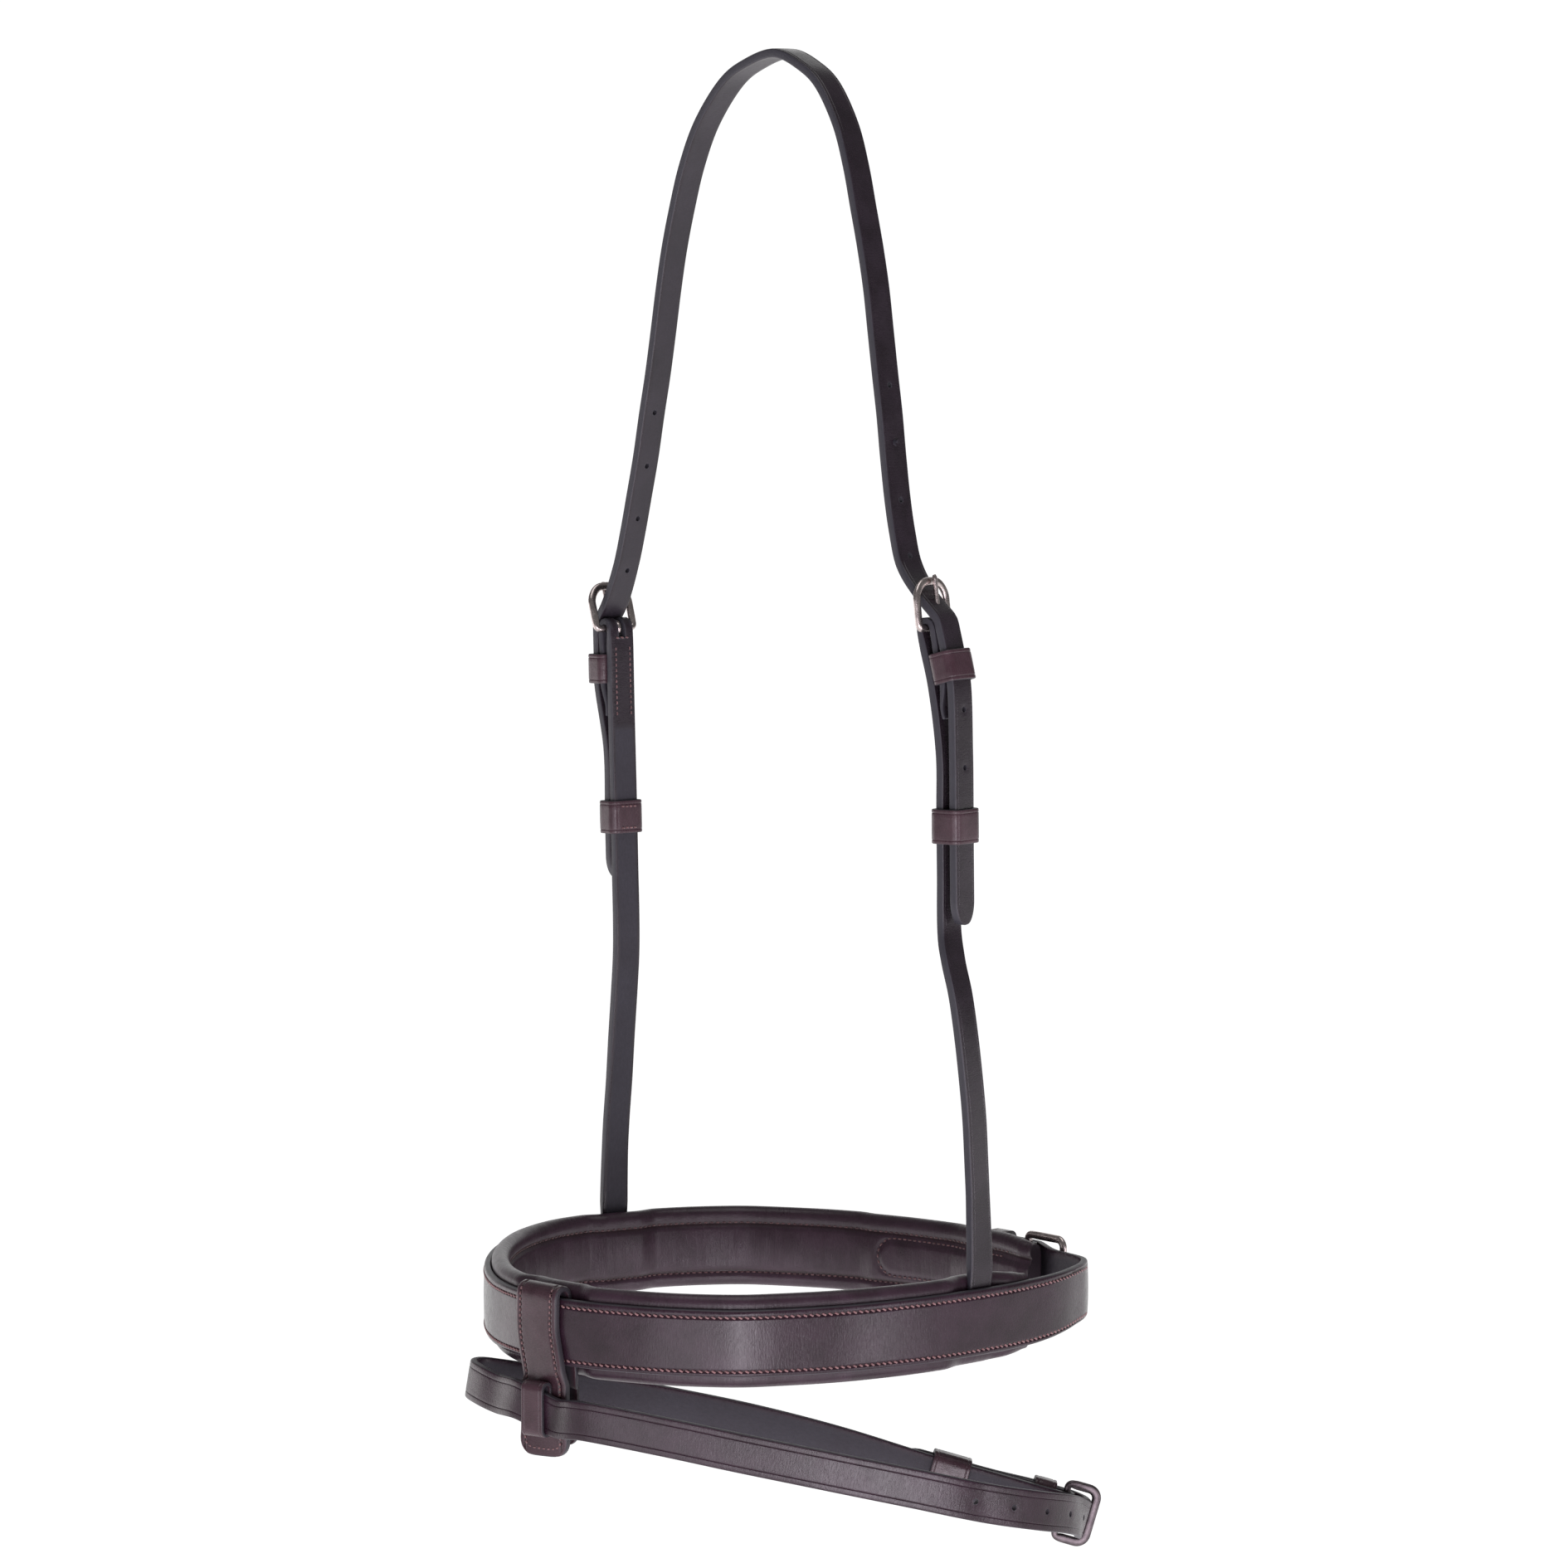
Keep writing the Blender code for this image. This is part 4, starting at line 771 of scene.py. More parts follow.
# How finely the looks are drawn
sample_step = 0.0005
ring_step = 0.0020
hole_step = 0.0006
face_step = 0.0016
end_steps = (0.0, 0.00012, 0.0003, 0.0006, 0.0010, 0.0015, 0.0022, 0.0031, 0.0042, 0.0056,
             0.0073, 0.0092)
keeper_step = 0.0011
frame_step = 0.0008
tongue_step = 0.0006
lining_step = 0.0012
seam_step = 0.0020

# Leather details
edge_radius = 0.0009
end_radius = 0.0007
groove_depth = 0.00045
groove_half = 0.0010
groove_fade = 0.0030
band_edge_radius = 0.0017
tab_edge_radius = 0.0013
keeper_edge_radius = 0.0006
keeper_inner_radius = 0.0004
tab_corner = 0.0075
lining_edge = 0.0016
lining_end_length = 0.0250
crease_depth = 0.00018
crease_half = 0.00035
crease_inset = 0.0017
flash_crease_inset = 0.0029
hole_dish = 0.00022
flat_crown = 0.00005
flash_crown = 0.00008
strap_crown = 0.00012
tab_crown = 0.0002
band_crown = 0.0003
swell_depth = 0.00010
drift_depth = 0.00012
flesh_gap = 0.0040
flesh_fade = 0.0030
seam_width = 0.0010

# Steel details
tongue_end = 0.0009
arm_width = 0.0036
arm_thickness = 0.0025
flash_arm_width = 0.0040
flash_arm_thickness = 0.0024

# The lining's rolls, folds and sewn rows
row_pull = 0.0011
row_half = 0.0012
row_swell = 0.0007
fine_fold = 0.00022
broad_fold = 0.00030
fold_half = 0.0110
turnback_fade = 0.0100
turnback_rise = 0.0030

# Thread
thread_radius = 0.00042
stitch_pitch = 0.0028
fine_pitch = 0.0024
stitch_share = 0.62
stitch_slant = math.radians(34)
stitch_jitter = 0.00012
band_row_high = 0.0113
band_row_low = -0.0120
band_seam_margin = 0.0040
lining_seam_margin = 0.0060
turnback_seam_start = 0.0040
tab_seam_start = 0.0040
tab_seam_end = 0.0100
tab_seam_turn = 0.0105
tab_seam_reach = 0.0070
seam_inset = 0.0026
tab_seam_inset = 0.0031
cross_seam_drop = 0.0042
cross_tilt = 0.0002
fold_seam_drop = 0.0080
flash_seam_start = 0.0030
flash_seam_drop = 0.0070


class Ribbon:
    """A strap's line, sampled closely: place, directions and sizes at any length along it."""

    def __init__(self, controls, flip=False, closed=False):
        stations = closed_line(controls, sample_step) if closed else refine(controls, sample_step)
        self.closed = closed
        self.rows = []
        self.runs = []
        run = 0.0
        for i, (station, along) in enumerate(zip(stations, tangents(stations, closed))):
            if i:
                run += (station.centre - stations[i - 1].centre).length
            across = (station.across - along * station.across.dot(along)).normalized()
            out = along.cross(across)
            if flip:
                out = -out
            self.rows.append((station.centre, along, across, out, station.width, station.thickness))
            self.runs.append(run)
        self.length = run
        if closed:
            self.length += (stations[0].centre - stations[-1].centre).length

    def at(self, run):
        """Centre, along, across, out, width and thickness at a length."""
        i = max(0, min(bisect.bisect_right(self.runs, run) - 1, len(self.rows) - 2))
        part = (run - self.runs[i]) / (self.runs[i + 1] - self.runs[i])
        part = max(0.0, min(1.0, part))
        a, b = self.rows[i], self.rows[i + 1]
        places = [a[k].lerp(b[k], part) for k in range(4)]
        for k in range(1, 4):
            places[k].normalize()
        sizes = [a[k] + (b[k] - a[k]) * part for k in (4, 5)]
        return (*places, *sizes)

    def nearest(self, point):
        """The length along the line nearest a point."""
        i = min(range(len(self.rows)), key=lambda k: (self.rows[k][0] - point).length_squared)
        return self.runs[i]

    def on_face(self, run, across_by, side=1, lift=0.0):
        """A point on the outer (1) or inner (-1) face, and the way out of it."""
        centre, _, across, out, _, thickness = self.at(run)
        way = out * side
        return centre + across * across_by + way * (thickness / 2 + lift), way


def closed_line(controls, step):
    """Stations at close steps along straight lines between a ring's controls."""
    made = []
    for i, a in enumerate(controls):
        b = controls[(i + 1) % len(controls)]
        count = max(1, round((b.centre - a.centre).length / step))
        for k in range(count):
            part = k / count
            made.append(Station(a.centre.lerp(b.centre, part), a.across.lerp(b.across, part),
                                a.width, a.thickness))
    return made


def ring_places(length, dense):
    """Lengths where a strap has a ring of points: closer at its ends and round its holes."""
    count = max(2, round(length / ring_step))
    places = [length * i / count for i in range(count + 1)]
    places = [p for p in places if end_steps[-1] < p < length - end_steps[-1]]
    places += [*end_steps, *[length - p for p in end_steps]]
    for centre, reach in dense:
        places = [p for p in places if abs(p - centre) > reach]
        count = round(reach / hole_step)
        places += [centre + hole_step * k for k in range(-count, count + 1)]
    places = sorted(p for p in places if -1e-9 <= p <= length + 1e-9)
    kept = places[:1]
    for place in places[1:]:
        if place - kept[-1] > end_steps[1] * 0.9:
            kept.append(place)
    return kept


def face_shares(width, marks, outer):
    """Places across a strap's outer face, closer together at its marks, as shares of its flat."""
    flat = width / 2 - outer
    count = max(4, round(2 * flat / face_step))
    places = [flat - 2 * flat * k / count for k in range(1, count)]
    for mark, half in marks:
        places = [p for p in places if abs(p - mark) > half * 1.35]
        places += [mark + half * share for share in (-1.2, -0.8, -0.4, 0.0, 0.4, 0.8, 1.2)]
    return sorted((p / flat for p in places if abs(p) < flat * 0.999), reverse=True)


def section(width, thickness, shares, outer, inner):
    """Points round a strap: across, outward, how much cut edge shows, and which face it is on."""
    outer = min(outer, thickness * 0.45, width * 0.4)
    inner = min(inner, thickness * 0.45, width * 0.4)
    w, t = width / 2, thickness / 2
    quarter = math.pi / 2
    steps = 4
    made = []

    def corner(centre_a, centre_b, radius, start, face_first):
        for k in range(steps + 1):
            angle = start + quarter * k / steps
            share = k / steps if face_first else 1 - k / steps
            made.append((centre_a + radius * math.cos(angle), centre_b + radius * math.sin(angle),
                         ease(share * 1.25), 0))

    corner(w - outer, t - outer, outer, 0.0, False)
    made += [(share * (w - outer), t, 0.0, 1) for share in shares]
    corner(outer - w, t - outer, outer, quarter, True)
    corner(inner - w, inner - t, inner, 2 * quarter, False)
    flat = w - inner
    made += [(-flat + 2 * flat * k / 8, -t, 0.0, -1) for k in range(1, 8)]
    corner(w - inner, inner - t, inner, 3 * quarter, True)
    return made


class Dress:
    """What one strap's surface has on it: grooves, creases, dished holes and tones."""

    def __init__(self, grooves=(), creases=(), holes=(), flesh=None, crown=strap_crown):
        self.grooves = grooves
        self.creases = creases
        self.holes = holes
        self.flesh = flesh
        self.crown = crown
        self.seed = random.random() * 50

    def marks(self):
        made = [(across, groove_half) for across, *_ in self.grooves]
        made += [(across, crease_half) for across in self.creases]
        if self.holes:
            made.append((0.0, hole_radius * 1.6))
        return made

    def sewn(self, run, across, face):
        """How much a place lies in a sewn groove, which the leather darkens with painted shade."""
        if face != 1:
            return 0.0
        return max((ease((run - start) / groove_fade) * ease((end - run) / groove_fade)
                    * bump((across - place) / groove_half) for place, start, end in self.grooves),
                   default=0.0)

    def relief(self, run, across, width, face):
        """How far the surface stands out of its plain section."""
        half = width / 2
        lift = self.crown * (1 - (across / half) ** 2) if face == 1 else 0.0
        if face == 1:
            lift -= groove_depth * self.sewn(run, across, face)
            for place in self.creases:
                lift -= crease_depth * bump((across - place) / crease_half)
        for hole in self.holes:
            away = math.hypot(run - hole, across)
            lift -= hole_dish * math.exp(-(away / (hole_radius * 1.5)) ** 2)
        swell = noise.noise(Vector((run * 55, across * 60, self.seed + face)))
        return lift + swell * swell_depth


def bump(share):
    """1 at a groove's middle, and 0 at its sides and beyond."""
    return ease(1 - abs(share)) if abs(share) < 1 else 0.0


def tone_attribute(bm):
    """Worn edge, flesh side and sewn groove at each point, for the leather to read; the sewn groove
    gets painted shade.
    """
    return bm.verts.layers.float_color.new("tone")


def circle(sides, start=0.0):
    """Cosines and sines at even steps round a circle."""
    angles = [math.tau * k / sides + start for k in range(sides)]
    return [(math.cos(a), math.sin(a)) for a in angles]


def skin(bm, rows, closed=False, places=None, girths=None):
    """Faces between rings of points, with caps on an open run.

    Places along the run and girths round each ring, when given, unroll it into a UV map.
    """
    uv = bm.loops.layers.uv.new("strap") if girths else None
    count = len(rows[0])
    for i in range(len(rows) if closed else len(rows) - 1):
        here, after = rows[i], rows[(i + 1) % len(rows)]
        for k in range(count):
            n = (k + 1) % count
            face = bm.faces.new((here[k], here[n], after[n], after[k]))
            if girths:
                a, b, girth = places[i], places[i + 1], girths[i]
                pairs = ((a, girth[k]), (a, girth[k + 1]), (b, girth[k + 1]), (b, girth[k]))
                for corner, pair in zip(face.loops, pairs):
                    corner[uv].uv = pair
    if not closed:
        for i in (0, -1):
            cap = bm.faces.new(rows[i])
            if girths:
                for corner in cap.loops:
                    corner[uv].uv = (places[i], 0.0)


def add_object(name, data):
    made = bpy.data.objects.new(name, data)
    bpy.context.scene.collection.objects.link(made)
    return made


def mesh_from(name, bm):
    mesh = bpy.data.meshes.new(name)
    bm.to_mesh(mesh)
    bm.free()
    return mesh


def draw_strap(name, ribbon, dress, look, body, nodes, outer=edge_radius,
               inner=edge_radius * 0.75):
    """Draw a strap along its ribbon, with its surface details."""
    if ribbon.closed:
        count = round(ribbon.length / keeper_step)
        places = [ribbon.length * i / count for i in range(count + 1)]
    else:
        places = ring_places(ribbon.length, [(hole, hole_radius * 2.4) for hole in dress.holes])
    bm = bmesh.new()
    tone = tone_attribute(bm)
    rows, girths = [], []
    full_width = max(row[4] for row in ribbon.rows)
    outer = min(outer, 0.45 * max(row[5] for row in ribbon.rows))
    shares = face_shares(full_width, dress.marks(), outer)
    for run in places[:-1] if ribbon.closed else places:
        centre, _, across, out, width, thickness = ribbon.at(run)
        from_end = min(run, ribbon.length - run)
        shrink = 0.0
        if not ribbon.closed and from_end < end_radius:
            shrink = end_radius - math.sqrt(max(0.0, end_radius ** 2 - (end_radius - from_end) ** 2))
        drift = noise.noise(Vector((run * 22, 7.0, dress.seed))) * drift_depth
        share = width / full_width
        row, girth, before = [], [0.0], None
        for a, b, edge, face in section(full_width, thickness, shares, outer, inner):
            a = a * share if abs(share - 1) > 1e-6 else a
            if face:
                b += dress.relief(run, a, width, face) * face
            a += drift
            if shrink:
                a -= math.copysign(min(abs(a), shrink), a)
                b -= math.copysign(min(abs(b), shrink), b)
            vert = bm.verts.new(centre + across * a + out * b)
            flesh = dress.flesh(run, face) if dress.flesh else (1.0 if face == -1 else 0.0)
            worn = edge if not shrink else max(edge, ease(1.4 - from_end / end_radius))
            vert[tone] = (worn, flesh, dress.sewn(run, a, face), 1.0)
            row.append(vert)
            if before is not None:
                girth.append(girth[-1] + math.hypot(a - before[0], b - before[1]))
            before = (a, b)
        rows.append(row)
        girths.append([*girth, girth[-1] + seam_width])
    skin(bm, rows, ribbon.closed, places, girths)
    return add_piece(name, bm, look, body, nodes)


def add_piece(name, bm, look, body, nodes=(), smooth=40):
    """A mesh piece that rides on a body and stands for CAD nodes."""
    bmesh.ops.recalc_face_normals(bm, faces=bm.faces)
    if bm.calc_volume(signed=True) < 0:
        bmesh.ops.reverse_faces(bm, faces=bm.faces)
    mesh = mesh_from(name, bm)
    mesh.shade_smooth()
    mesh.set_sharp_from_angle(angle=math.radians(smooth))
    piece = add_object(name, mesh)
    mesh.materials.append(look)
    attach(piece, body)
    if nodes:
        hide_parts(*nodes)
    return piece


def punch(piece, ribbon, holes):
    """Cut round holes through a strap."""
    bm = bmesh.new()
    for hole in holes:
        centre, along, across, out, _, thickness = ribbon.at(hole)
        reach = out * (thickness / 2 + cut_overrun)
        spokes = [(along * c + across * s) * hole_radius for c, s in circle(20)]
        pairs = [(bm.verts.new(centre + spoke - reach), bm.verts.new(centre + spoke + reach))
                 for spoke in spokes]
        skin(bm, list(zip(*pairs)))
    cut_from(piece, bm)


def cut_slot(piece, buckle):
    """Cut the slot in a fold that the tongue's hook turns in."""
    half_side = tongue_radius + gap * 2
    out = buckle.leaf_offset + buckle.leaf / 2 + cut_overrun
    low = -(buckle.shank_offset + tongue_radius + gap)
    bm = bmesh.new()
    bmesh.ops.create_cube(bm, size=1.0)
    for vert in bm.verts:
        vert.co = buckle.place(vert.co.x * 2 * out, low + (vert.co.z + 0.5) * (out - low),
                               vert.co.y * 2 * half_side)
    cut_from(piece, bm)


def cut_from(piece, bm):
    """Cut a closed form out of a piece, which leaves worn walls."""
    tone = tone_attribute(bm)
    for vert in bm.verts:
        vert[tone] = (0.8, 0.6, 0.0, 1.0)
    bmesh.ops.recalc_face_normals(bm, faces=bm.faces)
    mesh = mesh_from("cutter", bm)
    cutter = add_object("cutter", mesh)
    boolean = piece.modifiers.new("cut", "BOOLEAN")
    boolean.operation = "DIFFERENCE"
    boolean.solver = "EXACT"
    boolean.object = cutter
    boolean.use_self = True
    bpy.context.view_layer.update()
    seen = piece.evaluated_get(bpy.context.evaluated_depsgraph_get())
    made = bpy.data.meshes.new_from_object(seen)
    piece.modifiers.remove(boolean)
    piece.data = made
    bpy.data.objects.remove(cutter)
    bpy.data.meshes.remove(mesh)


# Thread

class Thread:
    """All the stitches that ride on one body, in one mesh."""

    def __init__(self):
        self.bm = bmesh.new()
        self.tone = tone_attribute(self.bm)


def add_stitch(body, start, end, way, radius=thread_radius, shade=0.35):
    """One stitch: a short thread that comes out of one hole and goes into the next."""
    thread = threads.setdefault(body, Thread())
    span = end - start
    along = span.normalized()
    side = along.cross(way).normalized()
    profile = ((0.0, -1.1, 0.6), (0.04, -0.1, 0.85), (0.16, 0.55, 1.0), (0.35, 0.8, 1.05),
               (0.65, 0.8, 1.05), (0.84, 0.55, 1.0), (0.96, -0.1, 0.85), (1.0, -1.1, 0.6))
    rows = []
    shade += (random.random() - 0.5) * 0.3
    for share, height, size in profile:
        centre = start + span * share + way * radius * height
        row = [thread.bm.verts.new(centre + (side * c + way * s * 0.85) * radius * size)
               for c, s in circle(6, share * 2.5)]
        for vert in row:
            vert[thread.tone] = (share, shade, 0.0, 1.0)
        rows.append(row)
    skin(thread.bm, rows)


def stitch_row(body, ribbon, across_at, start, end, side=1, pitch=fine_pitch, slant=0.0,
               lift=0.0, radius=thread_radius, shade=0.35):
    """A row of stitches along a face. How far across it lies may change along the strap."""
    count = max(1, round((end - start) / pitch))
    half = pitch * stitch_share / 2
    shift = math.sin(slant) * half
    for k in range(count):
        middle = start + (end - start) * (k + 0.5) / count
        by = across_at(middle) if callable(across_at) else across_at
        jitter = (random.random() - 0.5) * stitch_jitter
        a, way = ribbon.on_face(middle - half, by - shift + jitter, side, lift)
        b, _ = ribbon.on_face(middle + half, by + shift + jitter, side, lift)
        add_stitch(body, a, b, way, radius, shade)


def seam_runs(start, end):
    """Lengths from a start toward an end, a seam step apart."""
    step = math.copysign(seam_step, end - start)
    made = []
    while (end - start) * step > 0:
        made.append(start)
        start += step
    return made


def stitch_line(body, points, ways, pitch, radius, shade):
    """Stitches along any line of points on a surface."""
    runs = [0.0]
    for a, b in zip(points, points[1:]):
        runs.append(runs[-1] + (b - a).length)
    count = max(1, round(runs[-1] / pitch))

    def at(run):
        i = max(0, min(bisect.bisect_right(runs, run) - 1, len(points) - 2))
        part = (run - runs[i]) / max(1e-9, runs[i + 1] - runs[i])
        return points[i].lerp(points[i + 1], part), ways[i].lerp(ways[i + 1], part).normalized()

    for k in range(count):
        middle = runs[-1] * (k + 0.5) / count
        half = runs[-1] / count * stitch_share / 2
        a, way = at(middle - half)
        b, _ = at(middle + half)
        add_stitch(body, a, b, way, radius, shade)


def cross_stitches(body, ribbon, run, half):
    """Stitches that lie across a strap's inner face, from edge to edge."""
    count = round(2 * half / fine_pitch)
    reach = fine_pitch * stitch_share / 2
    for k in range(count):
        middle = -half + 2 * half * (k + 0.5) / count
        a, way = ribbon.on_face(run - cross_tilt, middle - reach, -1)
        b, _ = ribbon.on_face(run + cross_tilt, middle + reach, -1)
        add_stitch(body, a, b, way)


# Materials

def new_material(name):
    """A material with no nodes yet, and short ways to fill it."""
    made = bpy.data.materials.new(name)
    made.use_nodes = True
    tree = made.node_tree
    tree.nodes.clear()
    return made, Nodes(tree)


class Nodes:
    """Short ways to add and link shader nodes."""

    def __init__(self, tree):
        self.tree = tree

    def add(self, kind, values=None, **settings):
        node = self.tree.nodes.new(kind)
        for key, value in settings.items():
            setattr(node, key, value)
        for key, value in (values or {}).items():
            self.put(node.inputs[key], value)
        return node

    def put(self, socket, value):
        if hasattr(value, "is_output"):
            self.tree.links.new(value, socket)
        else:
            socket.default_value = value

    def coords(self):
        return self.add("ShaderNodeTexCoord").outputs["Object"]

    def strap_coords(self, along, across):
        uv = self.add("ShaderNodeUVMap", uv_map="strap").outputs[0]
        scaled = self.add("ShaderNodeMapping", {"Vector": uv, "Scale": (along, across, 1.0)})
        return scaled.outputs[0]

    def noise(self, vector, scale, detail=3.0, roughness=0.55, distortion=0.0):
        return self.add("ShaderNodeTexNoise", {"Vector": vector, "Scale": scale, "Detail": detail,
                                               "Roughness": roughness,
                                               "Distortion": distortion}).outputs["Fac"]

    def cells(self, vector, scale):
        values = {"Vector": vector, "Scale": scale, "Smoothness": 0.35}
        return self.add("ShaderNodeTexVoronoi", values, feature="SMOOTH_F1").outputs["Distance"]

    def math(self, operation, a, b=0.0):
        return self.add("ShaderNodeMath", {0: a, 1: b}, operation=operation).outputs[0]

    def span(self, value, low, high, to_low=0.0, to_high=1.0):
        return self.add("ShaderNodeMapRange", {"Value": value, "From Min": low, "From Max": high,
                                               "To Min": to_low, "To Max": to_high}).outputs[0]

    def mix(self, share, a, b):
        node = self.add("ShaderNodeMix", data_type="RGBA")
        for key, value in ((0, share), (6, a), (7, b)):
            self.put(node.inputs[key], value)
        return node.outputs[2]

    def tone(self):
        colour = self.add("ShaderNodeAttribute", attribute_name="tone").outputs["Color"]
        return self.add("ShaderNodeSeparateColor", {"Color": colour}).outputs

    def bump(self, height, strength, distance, normal=None):
        values = {"Height": height, "Strength": strength, "Distance": distance}
        node = self.add("ShaderNodeBump", values)
        if normal is not None:
            self.put(node.inputs["Normal"], normal)
        return node.outputs["Normal"]

    def surface(self, **values):
        names = {"colour": "Base Color", "roughness": "Roughness", "metallic": "Metallic",
                 "normal": "Normal", "sheen": "Sheen Weight", "specular": "Specular IOR Level"}
        shader = self.add("ShaderNodeBsdfPrincipled", {names[k]: v for k, v in values.items()})
        output = self.add("ShaderNodeOutputMaterial")
        self.tree.links.new(shader.outputs[0], output.inputs[0])
        return shader


def colour(red, green, blue):
    """An sRGB colour given in 0 to 255, as linear values."""
    made = []
    for value in (red, green, blue):
        share = value / 255
        made.append(share / 12.92 if share <= 0.04045 else ((share + 0.055) / 1.055) ** 2.4)
    return (*made, 1.0)


def dimmer(shade, share):
    """A share of a colour's brightness."""
    return (*(value * share for value in shade[:3]), 1.0)


def leather(name, dark, light, edge, flesh, gloss, grain=1.0, wrinkles=0.0):
    """Waxed bridle leather: mottled grain side, painted cut edges, a matt flesh side, and painted
    shade darkening its sewn grooves.
    """
    made, n = new_material(name)
    place = n.coords()
    worn, raw, sewn = n.tone()[0:3]
    cloud = n.noise(place, 55.0, 5.0, 0.6, 0.4)
    fine = n.noise(place, 620.0, 4.0, 0.65)
    face = n.mix(n.span(cloud, 0.3, 0.72), dark, light)
    pores = n.cells(place, 1500.0)
    face = n.mix(n.span(pores, 0.0, 0.32, 0.22, 0.0), face, (0.004, 0.003, 0.004, 1.0))
    face = n.mix(n.span(fine, 0.55, 0.85, 0.0, 0.25), face, light)
    # Painted shade: the sewn grooves are darkened toward a deep red-brown, as shade falls in them.
    face = n.mix(n.span(sewn, 0.1, 0.9, 0.0, 0.85), face, colour(38, 17, 22))
    streaks = n.noise(n.strap_coords(140.0, 1900.0), 1.0, 4.0, 0.6)
    edge_colour = n.mix(n.span(streaks, 0.3, 0.75, 0.0, 0.55), edge, dimmer(edge, 0.55))
    hair = n.noise(n.strap_coords(420.0, 900.0), 1.0, 6.0, 0.7)
    flesh_colour = n.mix(n.span(hair, 0.25, 0.75), dimmer(flesh, 0.62), flesh)
    flesh_colour = n.mix(n.span(n.noise(place, 38.0, 3.0), 0.4, 0.75, 0.0, 0.35), flesh_colour, dark)
    shade = n.mix(raw, face, flesh_colour)
    shade = n.mix(n.span(worn, 0.45, 0.8), shade, edge_colour)
    smear = n.noise(place, 130.0, 3.0)
    crosswise = n.noise(n.strap_coords(1500.0, 330.0), 1.0, 4.0, 0.6, 0.6)
    polished = n.math("ADD", n.span(smear, 0.25, 0.8, gloss - 0.04, gloss + 0.06),
                      n.span(crosswise, 0.3, 0.7, -0.05, 0.10))
    rough = n.add("ShaderNodeMix", data_type="FLOAT")
    n.put(rough.inputs[0], n.math("MAXIMUM", raw, n.math("MULTIPLY", worn, 0.5)))
    n.put(rough.inputs[2], polished)
    n.put(rough.inputs[3], 0.68)
    normal = n.bump(n.math("ADD", n.math("MULTIPLY", pores, 0.7), fine), 0.20 * grain, 0.00018)
    normal = n.bump(n.noise(place, 210.0, 2.0), 0.30, 0.00022, normal)
    normal = n.bump(crosswise, 0.32 * grain, 0.00026, normal)
    if wrinkles:
        folds = n.noise(n.strap_coords(680.0, 45.0), 1.0, 3.0, 0.55, 0.3)
        normal = n.bump(folds, wrinkles, 0.0004, normal)
    normal = n.bump(n.math("MULTIPLY", streaks, worn), 0.25, 0.0002, normal)
    n.surface(colour=shade, roughness=rough.outputs[0], normal=normal, specular=0.38)
    return made


def thread_look():
    """Twisted waxed thread."""
    made, n = new_material("thread")
    tone = n.tone()
    twist = n.math("SINE", n.math("MULTIPLY", tone[0], 34.0))
    shade = n.mix(n.span(tone[1], 0.0, 1.0), colour(78, 48, 52), colour(164, 120, 122))
    shade = n.mix(n.span(twist, -1.0, 1.0, 0.0, 0.4), shade, colour(56, 34, 38))
    normal = n.bump(twist, 0.35, 0.0001)
    n.surface(colour=shade, roughness=0.62, normal=normal, sheen=0.25)
    return made


def steel_look(name, dark, light, rough_low, rough_high):
    """Brushed steel, smeared by handling."""
    made, n = new_material(name)
    place = n.coords()
    drawn = n.add("ShaderNodeMapping", {"Vector": place, "Scale": (300.0, 300.0, 2600.0)})
    scratches = n.noise(drawn.outputs[0], 1.0, 4.0, 0.6)
    smear = n.noise(place, 240.0, 3.0)
    shade = n.mix(n.span(smear, 0.3, 0.7), dark, light)
    rough = n.span(n.math("ADD", n.math("MULTIPLY", scratches, 0.5), n.math("MULTIPLY", smear, 0.5)),
                   0.3, 0.7, rough_low, rough_high)
    normal = n.bump(scratches, 0.06, 0.00005)
    n.surface(colour=shade, roughness=rough, metallic=1.0, normal=normal)
    return made


def floor_look():
    """A pale floor that glows a little, so it reads as white as the backdrop."""
    made, n = new_material("floor")
    place = n.coords()
    grain = n.noise(place, 40.0, 3.0)
    shader = n.surface(colour=n.mix(grain, (0.93, 0.93, 0.93, 1.0), (0.95, 0.95, 0.95, 1.0)),
                       roughness=0.9)
    shader.inputs["Emission Color"].default_value = (1.0, 1.0, 1.0, 1.0)
    shader.inputs["Emission Strength"].default_value = floor_glow
    return made


looks = {
    "band": leather("band_leather", colour(33, 18, 27), colour(52, 34, 46), colour(58, 54, 61),
                    colour(58, 55, 64), 0.22),
    "strap": leather("strap_leather", colour(29, 22, 28), colour(43, 35, 43), colour(54, 52, 60),
                     colour(54, 51, 60), 0.26, 0.45),
    "lining": leather("lining_leather", colour(42, 27, 36), colour(60, 42, 54), colour(46, 36, 44),
                      colour(58, 55, 64), 0.32, 1.0, 0.4),
    "keeper": leather("keeper_leather", colour(48, 30, 37), colour(74, 53, 61), colour(52, 48, 54),
                      colour(58, 55, 64), 0.24, 0.6),
    "thread": thread_look(),
    "steel": steel_look("stainless_steel", colour(166, 156, 155), colour(200, 188, 185), 0.20, 0.34),
    # Painted shade: a darker, rougher copy of the steel for the flash buckle, standing in for the dim
    # surroundings its flat face mirrors.
    "shaded steel": steel_look("shaded_steel", colour(72, 66, 69), colour(100, 92, 95), 0.30, 0.46),
}


# The pieces

